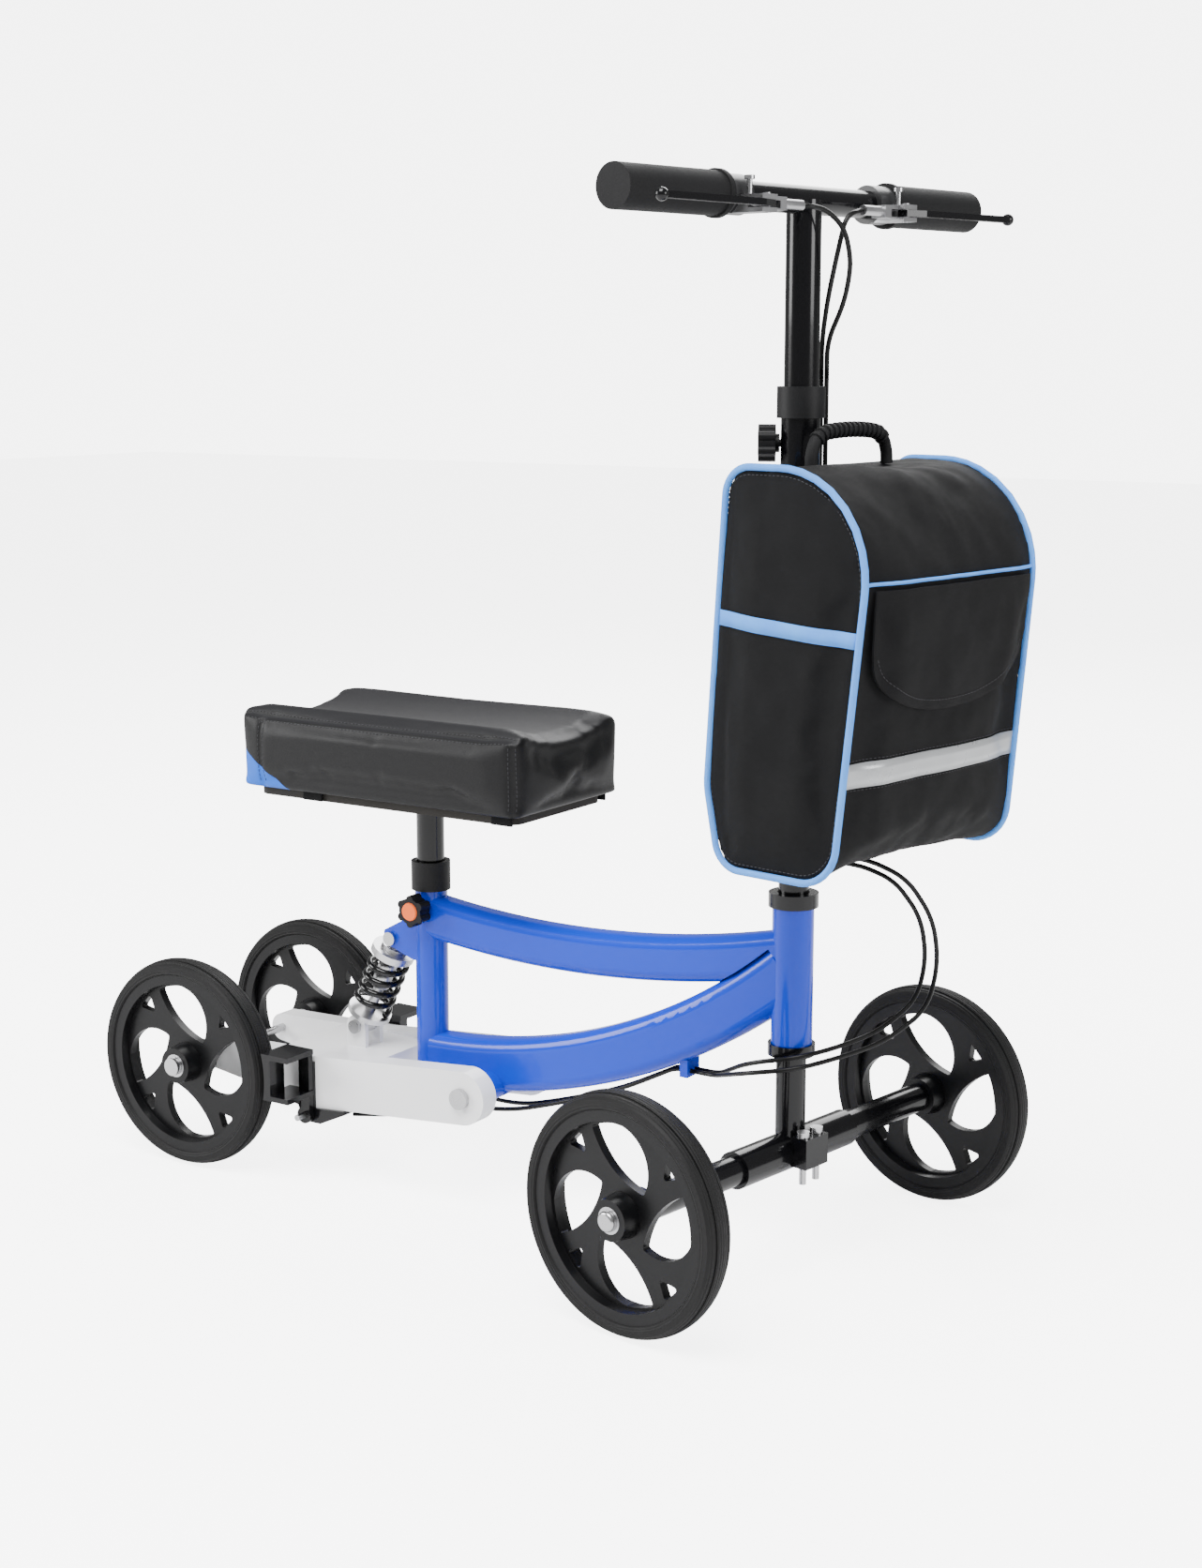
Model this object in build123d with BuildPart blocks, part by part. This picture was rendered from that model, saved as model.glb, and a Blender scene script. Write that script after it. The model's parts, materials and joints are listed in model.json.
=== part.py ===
"""Folding knee scooter with four wheels, a sprung rear arm, a height-adjusted knee pad and a front bag.

Millimetres. +X forward, +Y left, +Z up, floor at Z = 0. Every piece is modelled with the steering axis at
X = Y = 0. When it is written it moves to the scooter's own frame, whose origin is on the floor under the
middle of the scooter, and the pieces that steer are turned to the angle at which the scooter is parked.
"""

import os
from math import cos, pi, radians, sin, tan

from build123d import *

os.makedirs("parts", exist_ok=True)

# Whole scooter
wheelbase = 601.0
front_track = 418.0
rear_track = 187.0
steer_axis_x = 267.0  # steering axis, forward of the origin
steer_at_rest = -9.3  # degrees about +Z
running_gap = 0.05  # radial clearance of a turning or sliding fit
seat_gap = 0.3  # between pieces of different bodies that lie close

# Wheels
wheel_radius = 100.0
tyre_width = 28.0
tyre_bore_radius = 86.0
rim_width = 24.0
rim_ring_radius = 77.0
web_thickness = 8.0
hub_radius = 17.0
hub_length = 40.0
axle_bolt_radius = 4.0
bearing_radius = 11.0
bearing_width = 7.0
bolt_head_radius = 8.5
bolt_head_height = 5.0

# Frame
head_tube_radius = 17.5
head_tube_wall = 2.5
head_tube_bottom = 194.0
head_tube_top = 312.0
cup_radius = 21.0
cup_height_below = 10.0
cup_height_above = 12.0
seat_tube_x = -379.5
seat_tube_radius = 15.0
seat_tube_bottom = 95.0
seat_tube_top = 279.0
frame_wall = 2.0
top_tube_height = 40.0
top_tube_width = 30.0
top_tube_rear_z = 254.0
top_tube_low_point = (-193.0, 244.5)
top_tube_front_z = 272.0
down_tube_height = 49.0
down_tube_width = 32.0
down_tube_rear_z = 119.0
down_tube_bend = 590.0
pivot_x = -302.0
pivot_z = 107.0
pivot_boss_radius = 13.0
pivot_boss_half = 41.0
pivot_bolt_radius = 6.0

# Steering and front axle
steerer_radius = 12.7
steerer_wall = 2.6
axle_tube_radius = 12.7
axle_tube_wall = 2.6
sleeve_radius = 16.0
sleeve_half = 75.0

# Column, fold and handle
fold_z = 372.0
fold_pin_x = -30.0
fold_radius = 21.0
fold_base_height = 36.0
fold_head_height = 38.0
knuckle_radius = 9.0
knuckle_half = 10.0
ear_half = 18.0
fold_pin_radius = 4.0
latch_y = -33.0
latch_z = 348.0
latch_pin_radius = 2.5
column_radius = 16.0
column_wall = 1.8
column_top = 717.0
collar_height = 22.0
collar_radius = 19.5
stem_slack = 0.2  # between stem and column, which only the collar guides
stem_radius = column_radius - column_wall - stem_slack
stem_wall = 2.0
stem_bottom = 560.0
handlebar_z = 884.0
handlebar_radius = 11.1
handlebar_half = 221.0
handlebar_wall = 2.0
grip_radius = 17.0
grip_start = 107.0
grip_end = 225.0
clamp_start = 82.0
clamp_width = 22.0
clamp_radius = 15.5
lever_pivot = (34.0, 90.0)
lever_pivot_radius = 3.0
lever_thickness = 5.0
lever_z = 876.0
lock_pin_radius = 2.2
adjuster_end = 40.0  # inner end of the cable adjuster, from the middle of the bar

# Knee rest
post_radius = 12.7
post_wall = 2.2
post_bottom = 140.0
seat_collar_radius = 18.0
seat_collar_height = 27.0
board_z = 365.0
board_thickness = 8.0
pad_rear = -541.0
pad_front = -220.0
pad_width = 172.0
pad_top = 451.0
pad_trough_depth = 14.0
pad_edge_radius = 12.0
seat_knob_z = 263.0
column_knob_z = 694.0
column_knob_side = (-0.8, -0.6, 0.0)  # points to the rider's right and back
knob_radius = 15.0
knob_thickness = 14.0

# Swing arm, shock and brakes
arm_inner = 42.0
arm_outer = 62.0
arm_height = 50.0
arm_wall = 2.0
box_front = -415.0
box_rear = -520.0
shock_bottom = (-461.0, 137.0)
shock_top = (-417.0, 229.0)
shock_bolt_radius = 4.0
spring_radius = 20.0
spring_wire = 3.0
spring_turns = 4.5
brake_pivot = (123.0 - wheelbase, 62.0)
brake_pivot_radius = 3.0
brake_gap = 2.5  # pad to tread, brake off

# Bag
bag_half_width = 118.0
bag_channel_half = 37.0  # room for the column, its cables and the fold's latch
bag_channel_depth = 21.4
bag_top = 680.0
bag_waist = 430.0
bag_bottom = 366.0
bag_corner_radii = (22.0, 60.0, 24.0, 34.0, 85.0)
bag_front_low = (130.0, 398.0)
bag_front_high = (149.5, 592.0)
bag_flap_drop = 97.0
bag_flap_half_width = 104.0

# Brake cables
cable_radius = 2.0
cable_spacing = 4.0  # either side of the frame's centre
clip_x = -100.0
cable_clip_z = 153.0
column_cables = ((1.0, 24.6), (7.0, 23.8))  # left and right cable beside the column
column_cable_top = 745.0
cable_fold_z = 371.0
pivot_cable = (-338.0, 16.0, 82.0)  # where the cables pass from the frame to the arm, left side

frame_place = Location((steer_axis_x, 0, 0))
steered_place = Location((steer_axis_x, 0, 0), (0, 0, steer_at_rest))


def write(piece, name, place=frame_place):
    """Move a finished piece from the steering axis to the scooter's frame, label it and write it."""
    piece.part = piece.part.moved(place)
    piece.part.label = name
    export_step(piece.part, f"parts/{name}.step")


def across(x, z, start=0.0):
    """A plane whose normal is +Y, at height z and distance x, starting at y = start."""
    return Plane(origin=(x, start, z), x_dir=(1, 0, 0), z_dir=(0, 1, 0))


def rod(x, z, start, end, radius, bore=0.0, mode=Mode.ADD):
    """A round bar along Y inside the current part, hollow if it has a bore."""
    with BuildSketch(across(x, z, min(start, end))) as ring:
        Circle(radius)
        if bore:
            Circle(bore, mode=Mode.SUBTRACT)
    extrude(ring.sketch, amount=abs(end - start), mode=mode)


def post(x, y, bottom, top, radius, bore=0.0, mode=Mode.ADD):
    """An upright round bar inside the current part, hollow if it has a bore."""
    with BuildSketch(Plane.XY.offset(bottom)) as ring:
        with Locations((x, y)):
            Circle(radius)
            if bore:
                Circle(bore, mode=Mode.SUBTRACT)
    extrude(ring.sketch, amount=top - bottom, mode=mode)


def polar(radius, degrees):
    """A point of the wheel's side view."""
    return (radius * cos(radians(degrees)), radius * sin(radians(degrees)))


# ---------------------------------------------------------------- wheels

def write_tyre(name, x, y, place):
    """Solid rubber tyre with a crowned tread and two shallow grooves."""
    half = tyre_width / 2
    shoulder = wheel_radius - 5
    with BuildPart() as tyre:
        with BuildSketch(Plane.XY.move(Location((x, y, wheel_radius)))):
            with BuildLine():
                side = Polyline(
                    (shoulder, half), (tyre_bore_radius + 2, half), (tyre_bore_radius, rim_width / 2),
                    (tyre_bore_radius, -rim_width / 2), (tyre_bore_radius + 2, -half), (shoulder, -half),
                )
                ThreePointArc(side @ 1, (wheel_radius, 0), side @ 0)
            make_face()
            for groove in (-half / 2, half / 2):
                with Locations((wheel_radius - 0.6, groove)):
                    Rectangle(2.4, 1.6, mode=Mode.SUBTRACT)
        revolve(axis=Axis((x, y, wheel_radius), (0, 1, 0)))
    write(tyre, name, place)


def write_rim(name, x, y, place):
    """Moulded rim: ring, web with four leaf-shaped openings, and a hub with a bearing seat at each end."""
    ring_half = rim_width / 2
    web_half = web_thickness / 2
    hub_half = hub_length / 2
    seat_depth = hub_half - bearing_width
    bore_radius = axle_bolt_radius + 2
    side_view = Plane(origin=(x, y, wheel_radius), x_dir=(1, 0, 0), z_dir=(0, -1, 0))
    with BuildPart() as rim:
        with BuildSketch(Plane.XY.move(Location((x, y, wheel_radius)))):
            with BuildLine():
                Polyline(
                    (bore_radius, -seat_depth), (bearing_radius, -seat_depth), (bearing_radius, -hub_half),
                    (hub_radius, -hub_half), (hub_radius + 2, -web_half), (rim_ring_radius - 1, -web_half),
                    (rim_ring_radius, -ring_half), (tyre_bore_radius, -ring_half),
                    (tyre_bore_radius, ring_half), (rim_ring_radius, ring_half),
                    (rim_ring_radius - 1, web_half), (hub_radius + 2, web_half), (hub_radius, hub_half),
                    (bearing_radius, hub_half), (bearing_radius, seat_depth), (bore_radius, seat_depth),
                    close=True,
                )
            make_face()
        revolve(axis=Axis((x, y, wheel_radius), (0, 1, 0)))
        with BuildSketch(side_view.offset(-web_thickness)):
            for quarter in range(4):
                turn = 90 * quarter
                with BuildLine():
                    ring = ThreePointArc(
                        polar(rim_ring_radius - 3, turn + 116), polar(rim_ring_radius - 3, turn + 105),
                        polar(rim_ring_radius - 3, turn + 94),
                    )
                    bulge = ThreePointArc(ring @ 1, polar(58, turn + 66), polar(31, turn + 44))
                    ThreePointArc(bulge @ 1, polar(30, turn + 92), ring @ 0)
                make_face()
                with BuildLine():
                    Polyline(polar(74, turn + 127), polar(74, turn + 142), polar(57, turn + 132), close=True)
                make_face()
            fillet(vertices(), 2.2)
        extrude(amount=2 * web_thickness, mode=Mode.SUBTRACT)
    write(rim, name, place)


def write_wheel_bearings(name, x, y, place):
    """A ball bearing in each end of the hub, each as one shielded ring."""
    with BuildPart() as bearings:
        for end in (-1, 1):
            seat = y + end * hub_length / 2
            rod(x, wheel_radius, seat, seat - end * bearing_width, bearing_radius, axle_bolt_radius + running_gap)
    write(bearings, name, place)


for corner, x, y, place in (
    ("front_right", 0.0, -front_track / 2, steered_place),
    ("front_left", 0.0, front_track / 2, steered_place),
    ("rear_right", -wheelbase, -rear_track / 2, frame_place),
    ("rear_left", -wheelbase, rear_track / 2, frame_place),
):
    write_tyre(f"tyre_{corner}", x, y, place)
    write_rim(f"rim_{corner}", x, y, place)
    write_wheel_bearings(f"bearings_{corner}", x, y, place)

# ---------------------------------------------------------------- frame

with BuildPart() as head_tube:
    post(0, 0, head_tube_bottom, head_tube_top, head_tube_radius, head_tube_radius - head_tube_wall)
write(head_tube, "head_tube")


def box_section(path, height, width, radius):
    """A round-cornered section, square to the start of path."""
    with BuildSketch(Plane(origin=path @ 0, x_dir=(0, 1, 0), z_dir=path % 0)) as section:
        RectangleRounded(width, height, radius)
    return section.sketch


def curved_tube(path, height, width):
    """A box-section tube along path inside the current part, coped to the head tube and the seat tube."""
    radius = width * 0.36
    sweep(box_section(path, height, width, radius), path=path)
    inside = sweep(
        box_section(path, height - 2 * frame_wall, width - 2 * frame_wall, radius - frame_wall), path=path,
        mode=Mode.PRIVATE,
    )
    add(inside, mode=Mode.SUBTRACT)
    post(0, 0, 0, 2 * head_tube_top, head_tube_radius, mode=Mode.SUBTRACT)
    post(seat_tube_x, 0, 0, 2 * seat_tube_top, seat_tube_radius, mode=Mode.SUBTRACT)


def largest(piece):
    """Keep only the largest solid of a piece that coping has cut into several."""
    piece.part = Part(piece.solids().sort_by(SortBy.VOLUME)[-1].wrapped)


tube_start_x = seat_tube_x + 6
down_tube_centre = down_tube_rear_z + down_tube_bend


def down_tube_point(x):
    """The down tube's centre line: an arc that leaves the seat tube level and climbs to the head tube."""
    run = x - seat_tube_x
    return (x, 0, down_tube_centre - (down_tube_bend**2 - run**2) ** 0.5)


with BuildPart() as down_tube:
    with BuildLine() as down_line:
        ThreePointArc(down_tube_point(tube_start_x), down_tube_point(-200), down_tube_point(0))
    curved_tube(down_line.line, down_tube_height, down_tube_width)
    rod(pivot_x, pivot_z, -pivot_boss_half, pivot_boss_half, pivot_boss_radius)
    rod(
        pivot_x, pivot_z, -pivot_boss_half - 1, pivot_boss_half + 1, pivot_bolt_radius + running_gap,
        mode=Mode.SUBTRACT,
    )
    with Locations((clip_x, 0, cable_clip_z + 3)):
        Box(8, 2 * cable_spacing + 12, 16)
    for side in (-1, 1):
        with Locations((clip_x, side * cable_spacing, cable_clip_z)):
            Cylinder(cable_radius + 0.1, 20, rotation=(0, 90, 0), mode=Mode.SUBTRACT)
largest(down_tube)
write(down_tube, "down_tube")

with BuildPart() as top_tube:
    with BuildLine() as top_line:
        ThreePointArc(
            (tube_start_x, 0, top_tube_rear_z), (top_tube_low_point[0], 0, top_tube_low_point[1]),
            (0, 0, top_tube_front_z),
        )
    curved_tube(top_line.line, top_tube_height, top_tube_width)
    sweep(
        box_section(down_line.line, down_tube_height, down_tube_width + 10, down_tube_width * 0.3),
        path=down_line.line, mode=Mode.SUBTRACT,
    )
largest(top_tube)
write(top_tube, "top_tube")

shock_ear = 5.0
shock_ear_gap = 8.5
with BuildPart() as seat_tube:
    post(seat_tube_x, 0, seat_tube_bottom, seat_tube_top, seat_tube_radius)
    for side in (-1, 1):
        ear_start = side * shock_ear_gap if side > 0 else -shock_ear_gap - shock_ear
        with BuildSketch(across(0, 0, ear_start)):
            with BuildLine():
                Polyline(
                    (seat_tube_x, -248), (seat_tube_x - 20, -250), (shock_top[0] - 8, -shock_top[1] - 7),
                    (shock_top[0] - 8, -shock_top[1] + 6), (shock_top[0] + 4, -shock_top[1] + 9),
                    (seat_tube_x - 12, -212), (seat_tube_x, -212), close=True,
                )
            make_face()
        extrude(amount=shock_ear)
    post(seat_tube_x, 0, seat_tube_bottom - 1, seat_tube_top + 1, post_radius + running_gap, mode=Mode.SUBTRACT)
    rod(*shock_top, -30, 30, shock_bolt_radius + running_gap, mode=Mode.SUBTRACT)
    rod(seat_tube_x, seat_knob_z, 0, -30, 3.1, mode=Mode.SUBTRACT)
largest(seat_tube)
write(seat_tube, "seat_tube")

with BuildPart() as headset_cups:
    cup_bore = steerer_radius + 0.6
    post(0, 0, head_tube_bottom - cup_height_below, head_tube_bottom, cup_radius - 1, cup_bore)
    post(0, 0, head_tube_top, head_tube_top + cup_height_above, cup_radius, cup_bore)
write(headset_cups, "headset_cups")

with BuildPart() as headset_bearings:
    race_radius = head_tube_radius - head_tube_wall
    for race_bottom in (head_tube_bottom, head_tube_top - 8):
        post(0, 0, race_bottom, race_bottom + 8, race_radius, steerer_radius + running_gap)
write(headset_bearings, "headset_bearings")

with BuildPart() as seat_collar:
    post(seat_tube_x, 0, seat_tube_top, seat_tube_top + seat_collar_height, seat_collar_radius)
    post(
        seat_tube_x, 0, seat_tube_top - 1, seat_tube_top + seat_collar_height + 1, post_radius + running_gap,
        mode=Mode.SUBTRACT,
    )
    fillet(seat_collar.edges().filter_by(GeomType.CIRCLE).sort_by(Axis.Z)[-1:], 1.5)
write(seat_collar, "seat_collar")

with BuildPart() as frame_bolts:
    rod(pivot_x, pivot_z, -arm_outer - 1.2, arm_outer + 1.2, pivot_bolt_radius)
    for side in (-1, 1):
        rod(pivot_x, pivot_z, side * (arm_outer + 0.5), side * (arm_outer + 5), 9.5)
    rod(*shock_top, -shock_ear_gap - shock_ear - 1, shock_ear_gap + shock_ear + 1, shock_bolt_radius)
    for side in (-1, 1):
        outside = shock_ear_gap + shock_ear
        rod(*shock_top, side * outside, side * (outside + 4), 6.5)
write(frame_bolts, "frame_bolts")

# ---------------------------------------------------------------- steering

with BuildPart() as steerer:
    post(0, 0, wheel_radius, fold_z - fold_base_height, steerer_radius, steerer_radius - steerer_wall)
    rod(0, wheel_radius, -sleeve_half, sleeve_half, sleeve_radius)
    with Locations((21, 0, wheel_radius + 4)):
        Box(16, 30, 26)
    for y in (-9, 9):
        post(21, y, wheel_radius - 30, wheel_radius + 30, 3, mode=Mode.SUBTRACT)
    rod(
        0, wheel_radius, -sleeve_half - 1, sleeve_half + 1, axle_tube_radius + 0.05,
        mode=Mode.SUBTRACT,
    )
largest(steerer)
write(steerer, "steerer", steered_place)

axle_end = front_track / 2 - hub_length / 2 - seat_gap
with BuildPart() as front_axle:
    rod(0, wheel_radius, -axle_end, axle_end, axle_tube_radius, axle_tube_radius - axle_tube_wall)
    for side in (-1, 1):
        rod(0, wheel_radius, side * axle_end, side * (axle_end - 14), axle_tube_radius, axle_bolt_radius)
write(front_axle, "front_axle", steered_place)


def hub_bolts(x, track, inner_end):
    """The two wheel bolts of one axle, with domed heads just clear of the hubs."""
    head_start = track / 2 + hub_length / 2 + seat_gap
    for side in (-1, 1):
        rod(x, wheel_radius, side * inner_end, side * head_start, axle_bolt_radius)
        rod(x, wheel_radius, side * head_start, side * (head_start + bolt_head_height), bolt_head_radius)


with BuildPart() as front_hub_bolts:
    hub_bolts(0, front_track, axle_end - 14)
    heads = front_hub_bolts.edges().filter_by(GeomType.CIRCLE).sort_by(Axis.Y)
    fillet([heads[0], heads[-1]], 3)
write(front_hub_bolts, "front_hub_bolts", steered_place)

with BuildPart() as clamp_bolts:
    for y in (-9, 9):
        post(21, y, wheel_radius - 24, wheel_radius + 17.2, 3)
        post(21, y, wheel_radius + 17.2, wheel_radius + 22, 5.5)
write(clamp_bolts, "clamp_bolts", steered_place)

with BuildPart() as fold_base:
    post(0, 0, fold_z - fold_base_height, fold_z - seat_gap, fold_radius)
    for side in (-1, 1):
        start = side * (knuckle_half + 0.3)
        rod(fold_pin_x, fold_z, start, side * ear_half, knuckle_radius)
        with Locations((fold_pin_x / 2 - 4, side * (knuckle_half + ear_half + 0.3) / 2, fold_z - 12)):
            Box(-fold_pin_x, ear_half - knuckle_half - 0.3, 24 - 2 * seat_gap)
    rod(fold_pin_x, fold_z, -knuckle_half, knuckle_half, knuckle_radius + 0.5, mode=Mode.SUBTRACT)
    rod(fold_pin_x, fold_z, -ear_half - 1, ear_half + 1, fold_pin_radius, mode=Mode.SUBTRACT)
    with Locations((0, latch_y + 9, latch_z)):
        Box(16, 8, 16)
    for x in (-6.8, 6.8):
        with Locations((x, latch_y + 2, latch_z)):
            Box(2.5, 12, 9)
    with Locations(Location((0, latch_y, latch_z), (0, 90, 0))):
        Cylinder(latch_pin_radius, 16)
write(fold_base, "fold_base", steered_place)

with BuildPart() as fold_pin:
    rod(fold_pin_x, fold_z, -ear_half - 2, ear_half + 2, fold_pin_radius)
write(fold_pin, "fold_pin", steered_place)

# ---------------------------------------------------------------- column

with BuildPart() as fold_head:
    post(0, 0, fold_z + seat_gap, fold_z + fold_head_height, fold_radius)
    rod(fold_pin_x, fold_z, -knuckle_half, knuckle_half, knuckle_radius)
    with Locations((fold_pin_x / 2, 0, fold_z + 12)):
        Box(-fold_pin_x, 2 * knuckle_half, 20)
    rod(fold_pin_x, fold_z, -knuckle_half - 1, knuckle_half + 1, fold_pin_radius + running_gap, mode=Mode.SUBTRACT)
    post(0, 0, fold_z + 6, fold_z + fold_head_height + 1, column_radius, mode=Mode.SUBTRACT)
write(fold_head, "fold_head", steered_place)

with BuildPart() as column_tube:
    post(0, 0, fold_z + 6, column_top, column_radius, column_radius - column_wall)
    with BuildSketch(Plane(origin=(0, 0, column_knob_z), x_dir=(0, 0, 1), z_dir=column_knob_side)):
        Circle(3.1)
    extrude(amount=2 * column_radius, mode=Mode.SUBTRACT)
write(column_tube, "column_tube", steered_place)

with BuildPart() as column_collar:
    post(0, 0, column_top, column_top + collar_height, collar_radius, stem_radius + running_gap)
    post(0, 0, column_top - 3, column_top, collar_radius, column_radius)
write(column_collar, "column_collar", steered_place)


def star_knob(centre, direction, stud_length):
    """A six-lobed clamping knob; direction points from the tube to the hand."""
    face = Plane(origin=centre, x_dir=(0, 0, 1), z_dir=direction)
    with BuildSketch(face) as grip:
        Circle(knob_radius * 0.8)
        with PolarLocations(knob_radius * 0.75, 6):
            Circle(knob_radius * 0.25)
    extrude(grip.sketch, amount=knob_thickness)
    with BuildSketch(face) as neck:
        Circle(knob_radius * 0.5)
    extrude(neck.sketch, amount=-3)
    with BuildSketch(face) as stud:
        Circle(3)
    extrude(stud.sketch, amount=-stud_length)


with BuildPart() as column_knob:
    knob_reach = column_radius + 4
    star_knob(
        (column_knob_side[0] * knob_reach, column_knob_side[1] * knob_reach, column_knob_z),
        column_knob_side, knob_reach - stem_radius - 0.2,
    )
write(column_knob, "column_knob", steered_place)

with BuildPart() as seat_knob:
    star_knob(
        (seat_tube_x, -seat_tube_radius - 4, seat_knob_z), (0, -1, 0),
        seat_tube_radius + 4 - post_radius - 0.2,
    )
write(seat_knob, "seat_knob")

# ---------------------------------------------------------------- handle

with BuildPart() as stem_tube:
    post(0, 0, stem_bottom, handlebar_z, stem_radius, stem_radius - stem_wall)
    rod(0, handlebar_z, -2 * stem_radius, 2 * stem_radius, handlebar_radius, mode=Mode.SUBTRACT)
largest(stem_tube)
write(stem_tube, "stem_tube", steered_place)

with BuildPart() as handlebar:
    rod(0, handlebar_z, -handlebar_half, handlebar_half, handlebar_radius, handlebar_radius - handlebar_wall)
write(handlebar, "handlebar", steered_place)

with BuildPart() as grips:
    for side in (-1, 1):
        rod(0, handlebar_z, side * grip_start, side * grip_end, grip_radius)
        rod(0, handlebar_z, side * grip_start, side * (grip_start + 5), grip_radius + 1.5)
        rod(
            0, handlebar_z, side * (grip_start - 1), side * (handlebar_half + 0.2), handlebar_radius + 0.02,
            mode=Mode.SUBTRACT,
        )
write(grips, "grips", steered_place)

pivot_ahead, pivot_out = lever_pivot
adjuster_x = pivot_ahead - 6
perch_top = lever_z + lever_thickness / 2 + 4.5
perch_bottom = lever_z - lever_thickness / 2 - 4
with BuildPart() as lever_clamps:
    for side in (-1, 1):
        middle = side * (clamp_start + clamp_width / 2)
        rod(0, handlebar_z, side * clamp_start, side * (clamp_start + clamp_width), clamp_radius)
        with Locations((pivot_ahead / 2 + 4, middle - side * 2, (perch_top + perch_bottom) / 2)):
            Box(pivot_ahead, clamp_width - 4, perch_top - perch_bottom)
        with Locations((pivot_ahead - 8, side * (clamp_start - 6), lever_z + 1)):
            Box(14, 24, 10)
        rod(adjuster_x, lever_z + 1, side * adjuster_end, side * (clamp_start - 6), 4)
        rod(
            0, handlebar_z, side * (clamp_start - 1), side * (clamp_start + clamp_width + 1),
            handlebar_radius + 0.02, mode=Mode.SUBTRACT,
        )
        with Locations((pivot_ahead + 2, middle, lever_z)):
            Box(24, clamp_width + 20, lever_thickness + 0.8, mode=Mode.SUBTRACT)
        post(
            pivot_ahead - 12, side * (pivot_out + 6), lever_z, perch_top + 1, lock_pin_radius + running_gap,
            mode=Mode.SUBTRACT,
        )
        post(pivot_ahead, side * pivot_out, perch_bottom - 0.5, perch_top + 1, lever_pivot_radius)
write(lever_clamps, "lever_clamps", steered_place)


def brake_lever(side):
    """A flat lever blade that turns on an upright pivot and ends in a small ball."""
    with BuildSketch(Plane.XY.offset(lever_z - lever_thickness / 2)) as blade:
        with BuildLine():
            Polyline(
                (pivot_ahead - 5, side * (pivot_out - 4)), (pivot_ahead + 5, side * (pivot_out - 5)),
                (pivot_ahead + 11, side * (pivot_out + 14)), (pivot_ahead + 15, side * (grip_end - 8)),
                (pivot_ahead + 15, side * grip_end), (pivot_ahead + 7, side * grip_end),
                (pivot_ahead + 5, side * (pivot_out + 26)), (pivot_ahead - 5, side * (pivot_out + 8)),
                close=True,
            )
        make_face()
    extrude(blade.sketch, amount=lever_thickness)
    with Locations((pivot_ahead + 11, side * (grip_end - 2), lever_z)):
        Sphere(5)
    post(
        pivot_ahead, side * pivot_out, lever_z - 10, lever_z + 10, lever_pivot_radius + running_gap,
        mode=Mode.SUBTRACT,
    )


for side, hand in ((-1, "right"), (1, "left")):
    with BuildPart() as lever:
        brake_lever(side)
    write(lever, f"brake_lever_{hand}", steered_place)
    with BuildPart() as lock_pin:
        pin_x = pivot_ahead - 12
        pin_y = side * (pivot_out + 6)
        post(pin_x, pin_y, perch_top - 1, perch_top + 14, lock_pin_radius)
        post(pin_x, pin_y, perch_top + 11, perch_top + 14, 4)
    write(lock_pin, f"lock_pin_{hand}", steered_place)

# ---------------------------------------------------------------- knee rest

with BuildPart() as seat_post:
    post(seat_tube_x, 0, post_bottom, board_z, post_radius, post_radius - post_wall)
    post(seat_tube_x, 0, board_z - 4, board_z, 30, post_radius)
write(seat_post, "seat_post")

pad_middle = (pad_rear + pad_front) / 2
pad_length = pad_front - pad_rear
with BuildPart() as pad_board:
    with BuildSketch(Plane.XY.offset(board_z)):
        with Locations((pad_middle, 0)):
            RectangleRounded(pad_length - 30, pad_width - 30, 15)
    extrude(amount=board_thickness)
write(pad_board, "pad_board")

with BuildPart() as knee_pad:
    with BuildSketch(Plane.YZ.offset(pad_rear)):
        with BuildLine():
            half = pad_width / 2
            bottom = board_z + board_thickness
            side_top = pad_top - 8
            outline = Polyline(
                (-half + 14, pad_top), (-half, side_top), (-half, bottom), (half, bottom), (half, side_top),
                (half - 14, pad_top),
            )
            ThreePointArc(outline @ 1, (0, pad_top - pad_trough_depth), outline @ 0)
        make_face()
    extrude(amount=pad_length)
    fillet(knee_pad.edges().filter_by(Axis.Z), pad_edge_radius)
write(knee_pad, "knee_pad")

# ---------------------------------------------------------------- swing arm

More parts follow.
